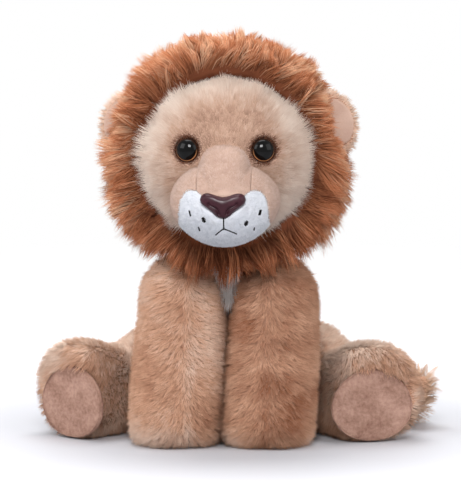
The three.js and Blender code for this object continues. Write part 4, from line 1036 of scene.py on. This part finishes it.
def eye_piece(side, sign):
    """A polished dome on a stem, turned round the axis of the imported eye."""
    node = f"eye_{side}"
    points, _ = vertices(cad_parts[node].data)
    away = level(EYE_TURN, sign)
    across = np.array([-away[1], away[0], 0])
    middle = [((points @ way).min() + (points @ way).max()) / 2 for way in (across, UP)]
    stem_end = (points @ away).min()
    centre = away * (stem_end + STEM_LENGTH) + across * middle[0] + UP * middle[1]
    profile = [(0, -STEM_LENGTH), (STEM_RADIUS, -STEM_LENGTH), (STEM_RADIUS, 0), (EYE_RADIUS, 0)]
    profile += [(EYE_RADIUS * math.cos(turn), EYE_RIM + EYE_DOME * math.sin(turn))
                for turn in np.linspace(0, math.pi / 2, DOME_RINGS)]
    rings = []
    for reach, high in profile:
        count = 1 if reach < 1e-7 else EYE_SIDES
        rings.append([centre + away * high + reach * (math.cos(a) * across + math.sin(a) * UP)
                      for a in np.linspace(0, 2 * math.pi, count, endpoint=False)])
    corners = [tuple(corner) for ring in rings for corner in ring]
    faces, start = [], 0
    for ring, following in zip(rings, rings[1:]):
        after = start + len(ring)
        for i in range(EYE_SIDES):
            low = [start + i % len(ring), start + (i + 1) % len(ring)]
            high = [after + (i + 1) % len(following), after + i % len(following)]
            faces.append(list(dict.fromkeys(low + high)))
        start = after
    mesh = bpy.data.meshes.new(node + "_dome")
    mesh.from_pydata(corners, [], faces)
    work = bmesh.new()
    work.from_mesh(mesh)
    bmesh.ops.recalc_face_normals(work, faces=work.faces)
    for face in work.faces:
        face.smooth = abs(face.normal.dot(Vector(away)) + 1) > 0.05
    work.to_mesh(mesh)
    work.free()
    mesh.materials.append(eye_finish(f"eye {side}", centre, sign))
    piece = show(node + "_dome", mesh, "head")
    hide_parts(node)


for side, sign in SIDES:
    eye_piece(side, sign)

nose_finish, tree, shader = finish_of("nose plastic", Roughness=0.34, Specular_IOR_Level=0.16)
where = in_object(tree)
cloud = place(tree, "ShaderNodeTexNoise", {"Vector": where, "Scale": 90, "Detail": 4.0})
tree.links.new(ramp(tree, cloud.outputs[0], [(0.3, tint(46, 16, 25)), (0.75, tint(66, 30, 40))]),
               shader.inputs["Base Color"])
grain = place(tree, "ShaderNodeTexNoise", {"Vector": where, "Scale": 2500})
dimple = place(tree, "ShaderNodeBump", {
    "Strength": 0.08, "Distance": 0.0002, "Height": grain.outputs[0]})
tree.links.new(dimple.outputs[0], shader.inputs["Normal"])
skin("nose", nose_finish, "head", grain=0.4 * MM, soften=3)

washer_finish = cloth_finish("washer plastic", (228, 228, 224), (240, 240, 236), depth=0.05,
                             sheen=0.0)
for name in ("nose_washer", "eye_washer_left", "eye_washer_right"):
    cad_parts[name].material_slots[0].material = washer_finish
